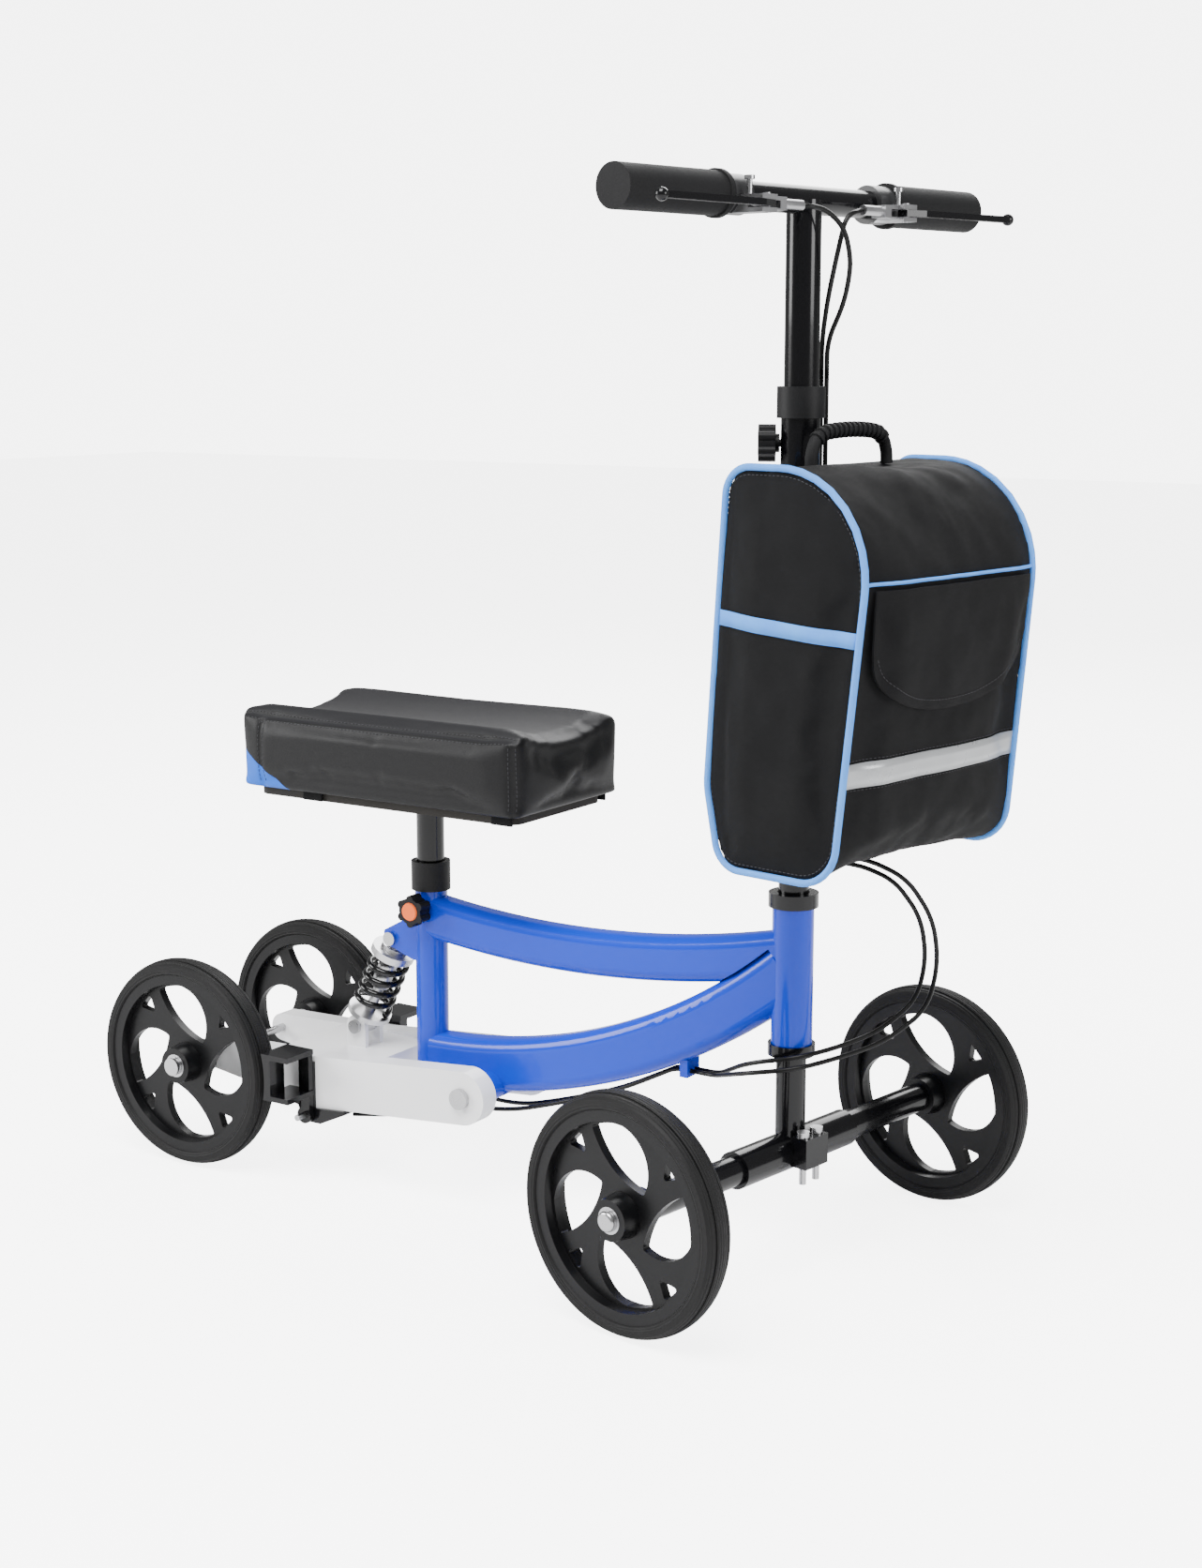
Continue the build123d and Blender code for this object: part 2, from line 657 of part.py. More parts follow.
with BuildPart() as swing_arm:
    for side in (-1, 1):
        start = arm_inner if side > 0 else -arm_outer
        with BuildSketch(across(0, 0, start)):
            with BuildLine():
                Polyline(
                    (pivot_x, -pivot_z - arm_height / 2), (-470, -(wheel_radius + 18)),
                    (-wheelbase, -(wheel_radius + 14)), (-wheelbase, -(wheel_radius - 14)),
                    (-470, -(wheel_radius - 32)), (pivot_x, -pivot_z + arm_height / 2), close=True,
                )
            make_face()
            with Locations((pivot_x, -pivot_z)):
                Circle(arm_height / 2)
            with Locations((-wheelbase, -wheel_radius)):
                Circle(14)
        extrude(amount=arm_outer - arm_inner)
    with Locations(((box_front + box_rear) / 2, 0, 94)):
        Box(box_front - box_rear, 2 * arm_inner, 46)
        Box(box_front - box_rear - 2 * arm_wall, 2 * arm_inner + 30, 46 - 2 * arm_wall, mode=Mode.SUBTRACT)
    for side in (-1, 1):
        lug_start = shock_ear_gap if side > 0 else -shock_ear_gap - shock_ear
        with BuildSketch(across(0, 0, lug_start)):
            with Locations((shock_bottom[0], -shock_bottom[1])):
                Circle(11)
            with Locations((shock_bottom[0], -shock_bottom[1] + 10)):
                Rectangle(22, 22)
        extrude(amount=shock_ear)
    rod(*shock_bottom, -20, 20, shock_bolt_radius, mode=Mode.SUBTRACT)
    rod(pivot_x, pivot_z, -70, 70, pivot_bolt_radius + running_gap, mode=Mode.SUBTRACT)
    rod(-wheelbase, wheel_radius, -70, 70, axle_bolt_radius, mode=Mode.SUBTRACT)
write(swing_arm, "swing_arm")

rear_hub_start = rear_track / 2 - hub_length / 2 - seat_gap
with BuildPart() as rear_axle:
    rod(-wheelbase, wheel_radius, -rear_hub_start, rear_hub_start, axle_bolt_radius)
    hub_bolts(-wheelbase, rear_track, arm_outer)
    for side in (-1, 1):
        rod(-wheelbase, wheel_radius, side * arm_outer, side * rear_hub_start, 9)
write(rear_axle, "rear_axle")

# ---------------------------------------------------------------- shock absorber

shock_run = Vector(shock_top[0] - shock_bottom[0], 0, shock_top[1] - shock_bottom[1])
shock_length = shock_run.length
shock_line = shock_run.normalized()
eye_radius = 9.0
eye_half = shock_ear_gap - seat_gap
spring_low = 17.0  # spring's lower seat, from the bottom bolt
spring_high = shock_length - 22
shock_rod_radius = 5.0


def along_shock(distance):
    """A plane square to the shock, at a distance from its bottom bolt."""
    start = Vector(shock_bottom[0], 0, shock_bottom[1]) + shock_line * distance
    return Plane(origin=start, x_dir=(0, 1, 0), z_dir=shock_line)


def shock_disc(start, end, radius, mode=Mode.ADD):
    """A round stretch of the shock inside the current part."""
    with BuildSketch(along_shock(start)) as disc:
        Circle(radius)
    extrude(disc.sketch, amount=end - start, mode=mode)


with BuildPart() as shock_body:
    rod(*shock_top, -eye_half, eye_half, eye_radius)
    shock_disc(spring_low + 28, spring_high + 11, 9)
    shock_disc(spring_high + 11, shock_length - 4, 7.5)
    shock_disc(spring_high, spring_high + 7, spring_radius + 1)
    shock_disc(spring_high + 7, spring_high + 11, 13)
    shock_disc(spring_low + 27, shock_length - 16, shock_rod_radius + 0.8, mode=Mode.SUBTRACT)
    rod(*shock_top, -eye_half - 1, eye_half + 1, shock_bolt_radius + running_gap, mode=Mode.SUBTRACT)
write(shock_body, "shock_body")

with BuildPart() as shock_rod:
    rod(*shock_bottom, -eye_half, eye_half, eye_radius)
    shock_disc(4, spring_low + 52, shock_rod_radius)
    shock_disc(spring_low - 5, spring_low, spring_radius + 1)
    rod(*shock_bottom, -eye_half - 1, eye_half + 1, shock_bolt_radius + running_gap, mode=Mode.SUBTRACT)
write(shock_rod, "shock_rod")

spring_height = spring_high - spring_low - 2 * spring_wire - 1
with BuildPart() as shock_spring:
    with BuildLine() as coil:
        Helix(
            spring_height / spring_turns, spring_height, spring_radius - spring_wire,
            center=along_shock(spring_low + spring_wire + 0.5).origin, direction=shock_line,
        )
    with BuildSketch(Plane(origin=coil.line @ 0, z_dir=coil.line % 0)) as wire:
        Circle(spring_wire)
    sweep(wire.sketch, path=coil.line, is_frenet=True)
write(shock_spring, "shock_spring")

# ---------------------------------------------------------------- rear brakes

brake_pin_end = 82.0
with BuildPart() as brake_brackets:
    for side in (-1, 1):
        start = 30.0 if side > 0 else -arm_outer - 3.3
        with BuildSketch(across(0, 0, start)):
            with BuildLine():
                Polyline(
                    (brake_pivot[0] - 13, -70.2), (-470, -68), (-436, -70.8), (-436, -67),
                    (brake_pivot[0] + 14, -54), (brake_pivot[0] - 8, -54), close=True,
                )
            make_face()
        extrude(amount=arm_outer + 3.3 - 30)
        with Locations((brake_pivot[0] - 2, side * (arm_outer + 1.8), 90)):
            Box(18, 3, 46)
    rod(*brake_pivot, -brake_pin_end, brake_pin_end, brake_pivot_radius, mode=Mode.SUBTRACT)
write(brake_brackets, "brake_brackets")

with BuildPart() as arm_pins:
    rod(*shock_bottom, -shock_ear_gap - shock_ear, shock_ear_gap + shock_ear, shock_bolt_radius)
    for side in (-1, 1):
        outside = shock_ear_gap + shock_ear
        rod(*shock_bottom, side * outside, side * (outside + 4), 6.5)
        rod(*brake_pivot, side * 40, side * brake_pin_end, brake_pivot_radius)
write(arm_pins, "arm_pins")

brake_inner = arm_outer + 4
brake_ear = 6.0
shoe_middle = rear_track / 2
for side, hand in ((-1, "right"), (1, "left")):
    with BuildPart() as brake_arm:
        ear_middle = side * (brake_inner + brake_ear / 2)
        shoe_outer = shoe_middle + 10
        plate_middle = side * (brake_inner + shoe_outer) / 2
        rod(*brake_pivot, side * brake_inner, side * (brake_inner + brake_ear), 8)
        with Locations((brake_pivot[0] + 2, ear_middle, 94)):
            Box(10, brake_ear, 64)
        with Locations((brake_pivot[0] - 8, plate_middle, 123.5)):
            Box(32, shoe_outer - brake_inner, 5)
        with Locations((brake_pivot[0] - 8, plate_middle, 84)):
            Box(32, shoe_outer - brake_inner, 5)
        with Locations((brake_pivot[0] - 19, side * shoe_middle, 104)):
            Box(12, 20, 40)
        rod(
            -wheelbase, wheel_radius, side * 60, side * 120, wheel_radius + brake_gap, mode=Mode.SUBTRACT,
        )
        rod(
            *brake_pivot, side * 60, side * 120, brake_pivot_radius + running_gap, mode=Mode.SUBTRACT,
        )
    write(brake_arm, f"brake_arm_{hand}")

# ---------------------------------------------------------------- bag and latch



def bag_front(z):
    """Distance of the bag's front face from the steering axis at this height."""
    lean = (bag_front_high[0] - bag_front_low[0]) / (bag_front_high[1] - bag_front_low[1])
    return bag_front_low[0] + lean * (z - bag_front_low[1])


with BuildPart() as bag:
    with BuildSketch(across(0, 0, -bag_half_width)):
        with BuildLine():
            FilletPolyline(
                (14, -bag_top), (3, -bag_waist), (16, -bag_bottom), (bag_front(bag_bottom), -bag_bottom),
                (bag_front(bag_top), -bag_top), radius=bag_corner_radii, close=True,
            )
        make_face()
    extrude(amount=2 * bag_half_width)
    with Locations((0, 0, bag_top)):
        Box(2 * bag_channel_depth, 2 * bag_channel_half, bag_top, mode=Mode.SUBTRACT)
write(bag, "bag", steered_place)

front_low = Vector(bag_front_low[0], 0, bag_front_low[1])
front_high = Vector(bag_front_high[0], 0, bag_front_high[1])
front_up = (front_high - front_low).normalized()
front_out = Vector(front_up.Z, 0, -front_up.X)
with BuildPart() as bag_flap:
    with BuildSketch(Plane(origin=front_high + front_out * 0.5, x_dir=(0, 1, 0), z_dir=front_out)):
        with BuildLine():
            half = bag_flap_half_width
            top_edge = Polyline(
                (half - 4, -bag_flap_drop * 0.45), (half, 0), (-half, 0), (-half + 4, -bag_flap_drop * 0.45),
            )
            ThreePointArc(top_edge @ 1, (0, -bag_flap_drop), top_edge @ 0)
        make_face()
    extrude(amount=2.5)
write(bag_flap, "bag_flap", steered_place)

handle_half = 50.0
handle_x = 49.0
handle_foot_z = bag_top + 1.8
with BuildPart() as bag_handle:
    with BuildLine() as arch:
        FilletPolyline(
            (handle_x, -handle_half, handle_foot_z), (handle_x, -handle_half + 8, 703),
            (handle_x, handle_half - 8, 703), (handle_x, handle_half, handle_foot_z), radius=12,
        )
    with BuildSketch(Plane(origin=arch.line @ 0, x_dir=(1, 0, 0), z_dir=arch.line % 0)) as strap:
        RectangleRounded(14, 8, 3)
    sweep(strap.sketch, path=arch.line)
write(bag_handle, "bag_handle", steered_place)

with BuildPart() as fold_latch:
    with Locations((0, latch_y, latch_z + 26)):
        Box(10, 4, 52)
    with Locations(Location((0, latch_y, latch_z), (0, 90, 0))):
        Cylinder(4.5, 10)
        Cylinder(latch_pin_radius + running_gap, 12, mode=Mode.SUBTRACT)
write(fold_latch, "fold_latch", steered_place)

# ---------------------------------------------------------------- brake cables


def arc_radii(points):
    """The largest tidy arc at each corner: 0.45 of the shorter run over the tangent of half the turn."""
    radii = []
    for before, here, after in zip(points, points[1:], points[2:]):
        run_in = Vector(*here) - Vector(*before)
        run_out = Vector(*after) - Vector(*here)
        half_turn = radians(run_in.get_angle(run_out)) / 2
        radii.append(0.45 * min(run_in.length, run_out.length) / tan(half_turn))
    return radii


def cable(name, points):
    """A round cable inside the current part, along straight runs joined by tangent arcs."""
    radii = arc_radii(points)
    with BuildLine() as route:
        FilletPolyline(*points, radius=radii)
    with BuildSketch(Plane(origin=route.line @ 0, z_dir=route.line % 0)) as section:
        Circle(cable_radius)
    strand = sweep(section.sketch, path=route.line, mode=Mode.PRIVATE)
    add(strand)
    length = route.wire().length
    solid_length = strand.volume / (pi * cable_radius**2)
    print(name, "route", round(length, 1), "solid", round(solid_length, 1))
    print(name, "radii", [round(radius, 1) for radius in radii])


def turned(x, y, z):
    """A point given in the frame's directions, as the parked steering sees it."""
    angle = radians(-steer_at_rest)
    return (x * cos(angle) - y * sin(angle), x * sin(angle) + y * cos(angle), z)


left_x, left_y = column_cables[0]
right_x, right_y = column_cables[1]
adjuster_z = lever_z + 1
adjuster_face = adjuster_end - 0.6
with BuildPart() as cables_bar:
    cable("bar left", [
        (adjuster_x, adjuster_face, adjuster_z), (28, 18, 872), (22, 15, 842), (9, 21, 808),
        (left_x, left_y, 775), (left_x, left_y, column_cable_top),
    ])
    cable("bar right", [
        (adjuster_x, -adjuster_face, adjuster_z), (31, -14, 876), (34, 8, 862), (31, 22, 836),
        (20, 29, 806), (right_x, right_y, 774), (right_x, right_y, column_cable_top),
    ])
write(cables_bar, "cables_bar", steered_place)

with BuildPart() as cables_column:
    for x, y in column_cables:
        post(x, y, cable_fold_z, column_cable_top, cable_radius)
write(cables_column, "cables_column", steered_place)

loop_end_x = clip_x + 6
with BuildPart() as cables_loop:
    cable("loop left", [
        (left_x, left_y, cable_fold_z), (left_x, left_y, 358), (10, 34, 346), (32, 50, 343), (58, 62, 332),
        (73, 80, 300), (74, 88, 262), (72, 78, 228), (58, 44, 205), (42, 8, 196), (24, -22, 190),
        (-20, -34, 179), turned(loop_end_x + 22, cable_spacing, cable_clip_z),
        turned(loop_end_x, cable_spacing, cable_clip_z),
    ])
    cable("loop right", [
        (right_x, right_y, cable_fold_z), (right_x, right_y, 362), (18, 32, 352), (42, 46, 350), (70, 62, 336),
        (84, 82, 300), (85, 90, 260), (83, 78, 222), (66, 40, 198), (47, 2, 189), (26, -30, 182),
        (-20, -44, 172), turned(loop_end_x + 22, -cable_spacing, cable_clip_z),
        turned(loop_end_x, -cable_spacing, cable_clip_z),
    ])
write(cables_loop, "cables_loop", steered_place)

pivot_cable_x, pivot_cable_y, pivot_cable_z = pivot_cable
before_pivot = Vector(-285, cable_spacing + 6, 84.5)
past_pivot = Vector(*pivot_cable) + (Vector(*pivot_cable) - before_pivot).normalized() * 20
with BuildPart() as cables_frame:
    for side, hand in ((-1, "right"), (1, "left")):
        cable(f"frame {hand}", [
            (loop_end_x, side * cable_spacing, cable_clip_z),
            (clip_x - 12, side * cable_spacing, cable_clip_z), (-170, side * (cable_spacing + 1), 123),
            (-230, side * (cable_spacing + 3), 101), (before_pivot.X, side * before_pivot.Y, before_pivot.Z),
            (pivot_cable_x, side * pivot_cable_y, pivot_cable_z),
        ])
write(cables_frame, "cables_frame")

with BuildPart() as cables_arm:
    for side, hand in ((-1, "right"), (1, "left")):
        cable(f"arm {hand}", [
            (pivot_cable_x, side * pivot_cable_y, pivot_cable_z),
            (past_pivot.X, side * past_pivot.Y, past_pivot.Z), (-398, side * 32, 66),
            (-444, side * 40, 60.5),
        ])
write(cables_arm, "cables_arm")
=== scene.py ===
"""The looks of a folding knee scooter: paint, rubber, leather, the soft bag, the cables and a plain studio.

Metres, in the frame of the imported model: +X forward, +Y left, +Z up, floor at Z = 0. What steers is described
in the steering's own directions, and steered() turns it to the angle at which the scooter is parked.
"""

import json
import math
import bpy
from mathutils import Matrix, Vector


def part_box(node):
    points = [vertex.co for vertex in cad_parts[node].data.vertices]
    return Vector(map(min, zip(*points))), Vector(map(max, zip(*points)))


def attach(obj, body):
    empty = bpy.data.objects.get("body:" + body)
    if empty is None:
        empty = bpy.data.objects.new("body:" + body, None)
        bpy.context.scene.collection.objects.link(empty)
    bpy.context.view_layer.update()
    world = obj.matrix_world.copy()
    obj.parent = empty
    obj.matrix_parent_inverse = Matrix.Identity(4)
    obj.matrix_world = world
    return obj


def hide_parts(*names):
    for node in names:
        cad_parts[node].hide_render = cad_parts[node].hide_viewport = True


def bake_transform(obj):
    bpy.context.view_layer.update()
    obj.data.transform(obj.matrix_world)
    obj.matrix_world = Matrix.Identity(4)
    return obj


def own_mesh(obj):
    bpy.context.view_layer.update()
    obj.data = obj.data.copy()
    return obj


bl_info = {
    "name": "Knee scooter looks",
    "version": (1, 0, 0),
    "blender": (4, 5, 0),
    "location": "View3D > Sidebar > Scooter",
    "description": "Builds the fabrics, cables and materials of a knee scooter on its packed frame",
    "category": "Object",
}

import bmesh
import bpy
from mathutils import Matrix, Vector, noise
from mathutils.bvhtree import BVHTree

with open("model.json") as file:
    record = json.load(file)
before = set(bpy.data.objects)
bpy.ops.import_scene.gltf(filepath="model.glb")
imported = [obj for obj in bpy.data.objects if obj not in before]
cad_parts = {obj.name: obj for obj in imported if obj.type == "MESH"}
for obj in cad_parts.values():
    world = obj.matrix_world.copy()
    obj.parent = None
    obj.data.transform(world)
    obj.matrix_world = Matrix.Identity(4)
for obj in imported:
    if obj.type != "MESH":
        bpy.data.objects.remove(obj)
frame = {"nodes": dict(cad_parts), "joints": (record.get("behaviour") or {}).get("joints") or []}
NODES = frame["nodes"]
JOINTS = {joint["name"]: joint for joint in frame["joints"]}
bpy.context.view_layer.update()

MM = 0.001
SIDES = ("right", "left")
SIGNS = {"right": -1, "left": 1}

across = Vector(JOINTS["column_fold"]["axis"])
steer_foot = Vector(JOINTS["steering_turn"]["pos_m"])
steer_foot.z = 0
steer_angle = math.atan2(-across.x, across.y)
PARKED = Matrix.Translation(steer_foot) @ Matrix.Rotation(steer_angle, 4, "Z")

BAG_HALF = 118 * MM
BAG_CORNERS = ((14, 680, 22), (3, 430, 60), (16, 366, 24), (126.8, 366, 34), (158.3, 680, 85))
FLAP_TOP = 592 * MM
FLAP_DROP = 97 * MM
FLAP_HALF = 103 * MM
FLAP_STRAIGHT = 0.45
FLAP_ROUNDNESS = 2.4
STRIP_Z = 452 * MM
STRIP_OFFSETS = (9.5, 3, -3, -9.5)
STRIP_SEAM_OFFSETS = (11.5, -11.5)
STRIP_FRONT = 130 * MM
FLAP_FRONT = 140 * MM
TAPE_Z = 564 * MM
TAPE_HALF = 6 * MM
NARROWING_START = 420 * MM
NARROWING_RISE = 260 * MM
NARROWING_SHARE = 0.075

STITCH_LENGTH = 2.6 * MM
STITCH_RADIUS = 0.35 * MM
STITCH_LIFT = 0.05 * MM
BAND_LIFT = 0.2 * MM
BAND_THICKNESS = 0.9 * MM


# ---------------------------------------------------------------- shader building


class Field:
    """A varying shader value that takes part in arithmetic."""

    def __init__(self, tree, socket):
        self.tree = tree
        self.socket = socket

    def maths(self, operation, *others):
        node = self.tree.nodes.new("ShaderNodeMath")
        node.operation = operation
        for slot, value in zip(node.inputs, (self, *others)):
            if isinstance(value, Field):
                self.tree.links.new(value.socket, slot)
            else:
                slot.default_value = value
        return Field(self.tree, node.outputs[0])

    def __add__(self, other):
        return self.maths("ADD", other)

    def __sub__(self, other):
        return self.maths("SUBTRACT", other)

    def __mul__(self, other):
        return self.maths("MULTIPLY", other)

    def __truediv__(self, other):
        return self.maths("DIVIDE", other)

    def __gt__(self, other):
        return self.maths("GREATER_THAN", other)

    def __lt__(self, other):
        return self.maths("LESS_THAN", other)

    def absolute(self):
        return self.maths("ABSOLUTE")

    def sine(self):
        return self.maths("SINE")

    def root(self):
        return self.maths("SQRT")


class Finish:
    """A material with one Principled shader, and the fields that feed it."""

    def __init__(self, name, colour, roughness=0.5, metallic=0.0, coat=0.0, **constants):
        self.material = bpy.data.materials.new(name)
        self.material.use_nodes = True
        self.material.diffuse_color = (*colour, 1)
        self.tree = self.material.node_tree
        self.shader = self.tree.nodes["Principled BSDF"]
        self.colour = colour
        self.roughness = roughness
        self.set("Base Color", (*colour, 1))
        self.set("Roughness", roughness)
        self.set("Metallic", metallic)
        self.set("Coat Weight", coat)
        for socket, value in constants.items():
            self.set(socket.replace("_", " "), value)

    def set(self, socket, value):
        self.shader.inputs[socket].default_value = value

    def node(self, kind, links=(), **values):
        """A node of this kind; links feed its sockets, values set its sockets or its own settings."""
        made = self.tree.nodes.new("ShaderNode" + kind)
        for key, value in values.items():
            if hasattr(made, key):
                setattr(made, key, value)
            else:
                made.inputs[key.replace("_", " ")].default_value = value
        for socket, source in dict(links).items():
            self.tree.links.new(source, made.inputs[socket])
        return made

    def place(self, centre=(0, 0, 0), turn=0.0):
        """Object coordinates about a centre, turned about Z, as a vector socket."""
        coordinates = self.node("TexCoord")
        back = Matrix.Rotation(-turn, 3, "Z") @ -Vector(centre)
        mapping = self.node("Mapping", {"Vector": coordinates.outputs["Object"]})
        mapping.inputs["Location"].default_value = back
        mapping.inputs["Rotation"].default_value = (0, 0, -turn)
        return mapping.outputs["Vector"]

    def axes(self, vector):
        split = self.node("SeparateXYZ", {"Vector": vector})
        return [Field(self.tree, output) for output in split.outputs]

    def noise(self, vector, scale, detail=3.0):
        made = self.node("TexNoise", {"Vector": vector}, Scale=scale, Detail=detail)
        return Field(self.tree, made.outputs["Fac"])

    def cells(self, vector, scale):
        made = self.node("TexVoronoi", {"Vector": vector}, Scale=scale)
        return Field(self.tree, made.outputs["Distance"])

    def feed(self, socket, field):
        self.tree.links.new(field.socket, self.shader.inputs[socket])

    def vary_roughness(self, field, amount):
        """The roughness moves by this much either side as the field goes from 0 to 1."""
        self.feed("Roughness", (field - 0.5) * (2 * amount) + self.roughness)

    def blend_colour(self, field, other):
        """Goes from the present colour, at 0, to the other, at 1."""
        mix = self.node("Mix", {"Factor": field.socket}, data_type="RGBA")
        base = self.shader.inputs["Base Color"]
        if base.links:
            self.tree.links.new(base.links[0].from_socket, mix.inputs[6])
        else:
            mix.inputs[6].default_value = (*self.colour, 1)
        mix.inputs[7].default_value = (*other, 1)
        self.tree.links.new(mix.outputs[2], base)

    def relief(self, height, depth, strength=1.0):
        """A bump of this real depth, on top of any bump that is there."""
        links = {"Height": height.socket}
        normal = self.shader.inputs["Normal"]
        if normal.links:
            links["Normal"] = normal.links[0].from_socket
        bump = self.node("Bump", links, Distance=depth, Strength=strength)
        self.tree.links.new(bump.outputs["Normal"], normal)


def shade(colour, factor):
    return tuple(min(1.0, channel * factor) for channel in colour)


def gloss_paint(name, colour, roughness=0.22, coat=0.25):
    finish = Finish(name, colour, roughness, coat=coat, Coat_Roughness=0.06, Specular_IOR_Level=0.2)
    place = finish.place()
    finish.relief(finish.noise(place, 420, 2), 0.06 * MM, 0.25)
    finish.vary_roughness(finish.noise(place, 9, 4), 0.04)
    finish.blend_colour(finish.noise(place, 3, 2) * 0.5, shade(colour, 0.82))
    return finish.material


def metal(name, colour, roughness, grain=900):
    finish = Finish(name, colour, roughness, metallic=1.0)
    place = finish.place()
    finish.relief(finish.noise(place, grain, 3), 0.03 * MM, 0.4)
    finish.vary_roughness(finish.noise(place, 60, 5), 0.1)
    finish.blend_colour(finish.noise(place, 25, 4) * 0.6, shade(colour, 0.6))
    return finish.material


def moulded(name, colour, roughness, grain=700, depth=0.05):
    finish = Finish(name, colour, roughness, Specular_IOR_Level=0.22)
    place = finish.place()
    finish.relief(finish.cells(place, grain), depth * MM, 0.5)
    finish.vary_roughness(finish.noise(place, 30, 4), 0.07)
    finish.blend_colour(finish.noise(place, 12, 3) * 0.4, shade(colour, 1.6))
    return finish.material


def tyre_rubber(name, centre, turn):
    """Rubber with fine lines running round the tread and the side walls, about this wheel's centre."""
    finish = Finish(name, (0.004, 0.004, 0.0044), 0.6, Specular_IOR_Level=0.2)
    place = finish.place(centre, turn)
    x, y, z = finish.axes(place)
    radius = (x * x + z * z).root()
    side_lines = (radius * (2 * math.pi / (3.2 * MM))).sine()
    tread_lines = (y * (2 * math.pi / (2.6 * MM))).sine()
    on_tread = radius > 96.5 * MM
    on_side = radius < 91 * MM
    line_depth = 0.35 * MM
    finish.relief(tread_lines * on_tread + side_lines * on_side, line_depth, 0.8)
    finish.relief(finish.noise(place, 500, 3), 0.05 * MM, 0.5)
    finish.vary_roughness(finish.noise(place, 40, 4), 0.08)
    finish.blend_colour(finish.noise(place, 35, 4) * 0.5, (0.016, 0.0157, 0.0153))
    return finish.material


def woven(name, colour, pitch=0.9, roughness=0.78, sheen=0.02):
    """Plain weave: threads along the height and along the girth, in the steering's directions."""
    finish = Finish(name, colour, roughness, Sheen_Weight=sheen, Sheen_Roughness=0.5, Specular_IOR_Level=0.14)
    place = finish.place(steer_foot, steer_angle)
    x, y, z = finish.axes(place)
    wave = 2 * math.pi / (pitch * MM)
    weave = ((x + y) * wave).sine() * (z * wave).sine()
    finish.relief(weave, 0.14 * MM, 0.6)
    finish.relief(finish.noise(place, 22, 3), 2.2 * MM, 0.35)
    finish.vary_roughness(finish.noise(place, 14, 4), 0.08)
    finish.blend_colour(finish.noise(place, 45, 4) * 0.5, shade(colour, 2.2))
    return finish.material


def leatherette(name, colour, top_highlight_colour=None, corner_colour=None):
    """Grained vinyl. The up-facing top is painted a lighter grey, a painted highlight of the light from above,
    and the rear lower corners are coloured.
    """
    finish = Finish(name, colour, 0.5, Specular_IOR_Level=0.25)
    place = finish.place()
    finish.relief(finish.cells(place, 900), 0.12 * MM, 0.55)
    finish.relief(finish.noise(place, 30, 3), 0.8 * MM, 0.3)
    finish.vary_roughness(finish.noise(place, 20, 4), 0.07)
    x, y, z = finish.axes(place)
    # Painted highlight: faces that point up, inside the side seams and above the pad's foot, are painted a
    # lighter grey as if lit from above.
    if top_highlight_colour:
        low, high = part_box("knee_pad")
        normal = finish.axes(finish.node("NewGeometry").outputs["Normal"])[2]
        edge_width = 7 * MM
        half = (high.y - low.y) / 2 - edge_width
        top = (normal > 0.6) * (y.absolute() < half) * (z > low.z + 40 * MM)
        finish.blend_colour(top, top_highlight_colour)
    if corner_colour:
        low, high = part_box("knee_pad")
        rise = 41 * MM
        run = 62 * MM
        side_depth = 12 * MM
        edge = (x - low.x) / run + (z - low.z) / rise
        corner = (edge < 1.0) * (y.absolute() > (high.y - low.y) / 2 - side_depth)
        finish.blend_colour(corner, corner_colour)
    return finish.material


def lever_alloy(name):
    """Silver lever bodies on black clamps: black within reach of the bar's axis."""
    finish = Finish(name, (0.5, 0.5, 0.51), 0.34, metallic=1.0)
    place = finish.place(steer_foot, steer_angle)
    x, _, z = finish.axes(place)
    low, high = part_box("handlebar")
    up = z - (low.z + high.z) / 2
    clamp_radius = 16.5 * MM
    clamp = (x * x + up * up).root() < clamp_radius
    finish.relief(finish.noise(place, 600, 3), 0.05 * MM, 0.5)
    finish.vary_roughness(finish.noise(place, 60, 5), 0.1)
    finish.blend_colour(finish.noise(place, 25, 4) * 0.6, (0.3, 0.3, 0.31))
    finish.blend_colour(clamp, (0.015, 0.015, 0.016))
    finish.feed("Metallic", clamp * -1.0 + 1.0)
    return finish.material


def reflective(name):
    finish = Finish(name, (0.42, 0.43, 0.44), 0.3, metallic=0.35)
    place = finish.place()
    finish.relief(finish.cells(place, 650), 0.1 * MM, 0.6)
    finish.vary_roughness(finish.noise(place, 60, 3), 0.1)
    finish.blend_colour(finish.noise(place, 30, 4) * 0.5, (0.3, 0.31, 0.32))
    return finish.material


# ---------------------------------------------------------------- mesh building


def steered(x, y, z):
    """A place given in metres from the steering axis, at the parked steering angle."""
    return PARKED @ Vector((x, y, z))


def add_object(name, mesh):
    made = bpy.data.objects.new(name, mesh)
    bpy.context.scene.collection.objects.link(made)
    return made


def mesh_object(name, points, faces, smooth=True):
    mesh = bpy.data.meshes.new(name)
    mesh.from_pydata([tuple(point) for point in points], [], faces)
    mesh.update()
    if smooth:
        mesh.shade_smooth()
    return add_object(name, mesh)


def node_copy(node, name):
    """A merged copy of a CAD node's mesh."""
    mesh = NODES[node].data.copy()
    mesh.name = name
    work = bmesh.new()
    work.from_mesh(mesh)
    bmesh.ops.remove_doubles(work, verts=work.verts, dist=0.02 * MM)
    work.to_mesh(mesh)
    work.free()
    mesh.materials.clear()
    mesh.shade_smooth()
    return add_object(name, mesh)


def settle(piece):
    """Every modifier of the piece applied to its mesh."""
    graph = bpy.context.evaluated_depsgraph_get()
    mesh = bpy.data.meshes.new_from_object(piece.evaluated_get(graph), depsgraph=graph)
    piece.modifiers.clear()
    old = piece.data
    if piece.type == "MESH":
        piece.data = mesh
        bpy.data.meshes.remove(old)
        return piece
    name = piece.name
    bpy.data.objects.remove(piece)
    return add_object(name, mesh)


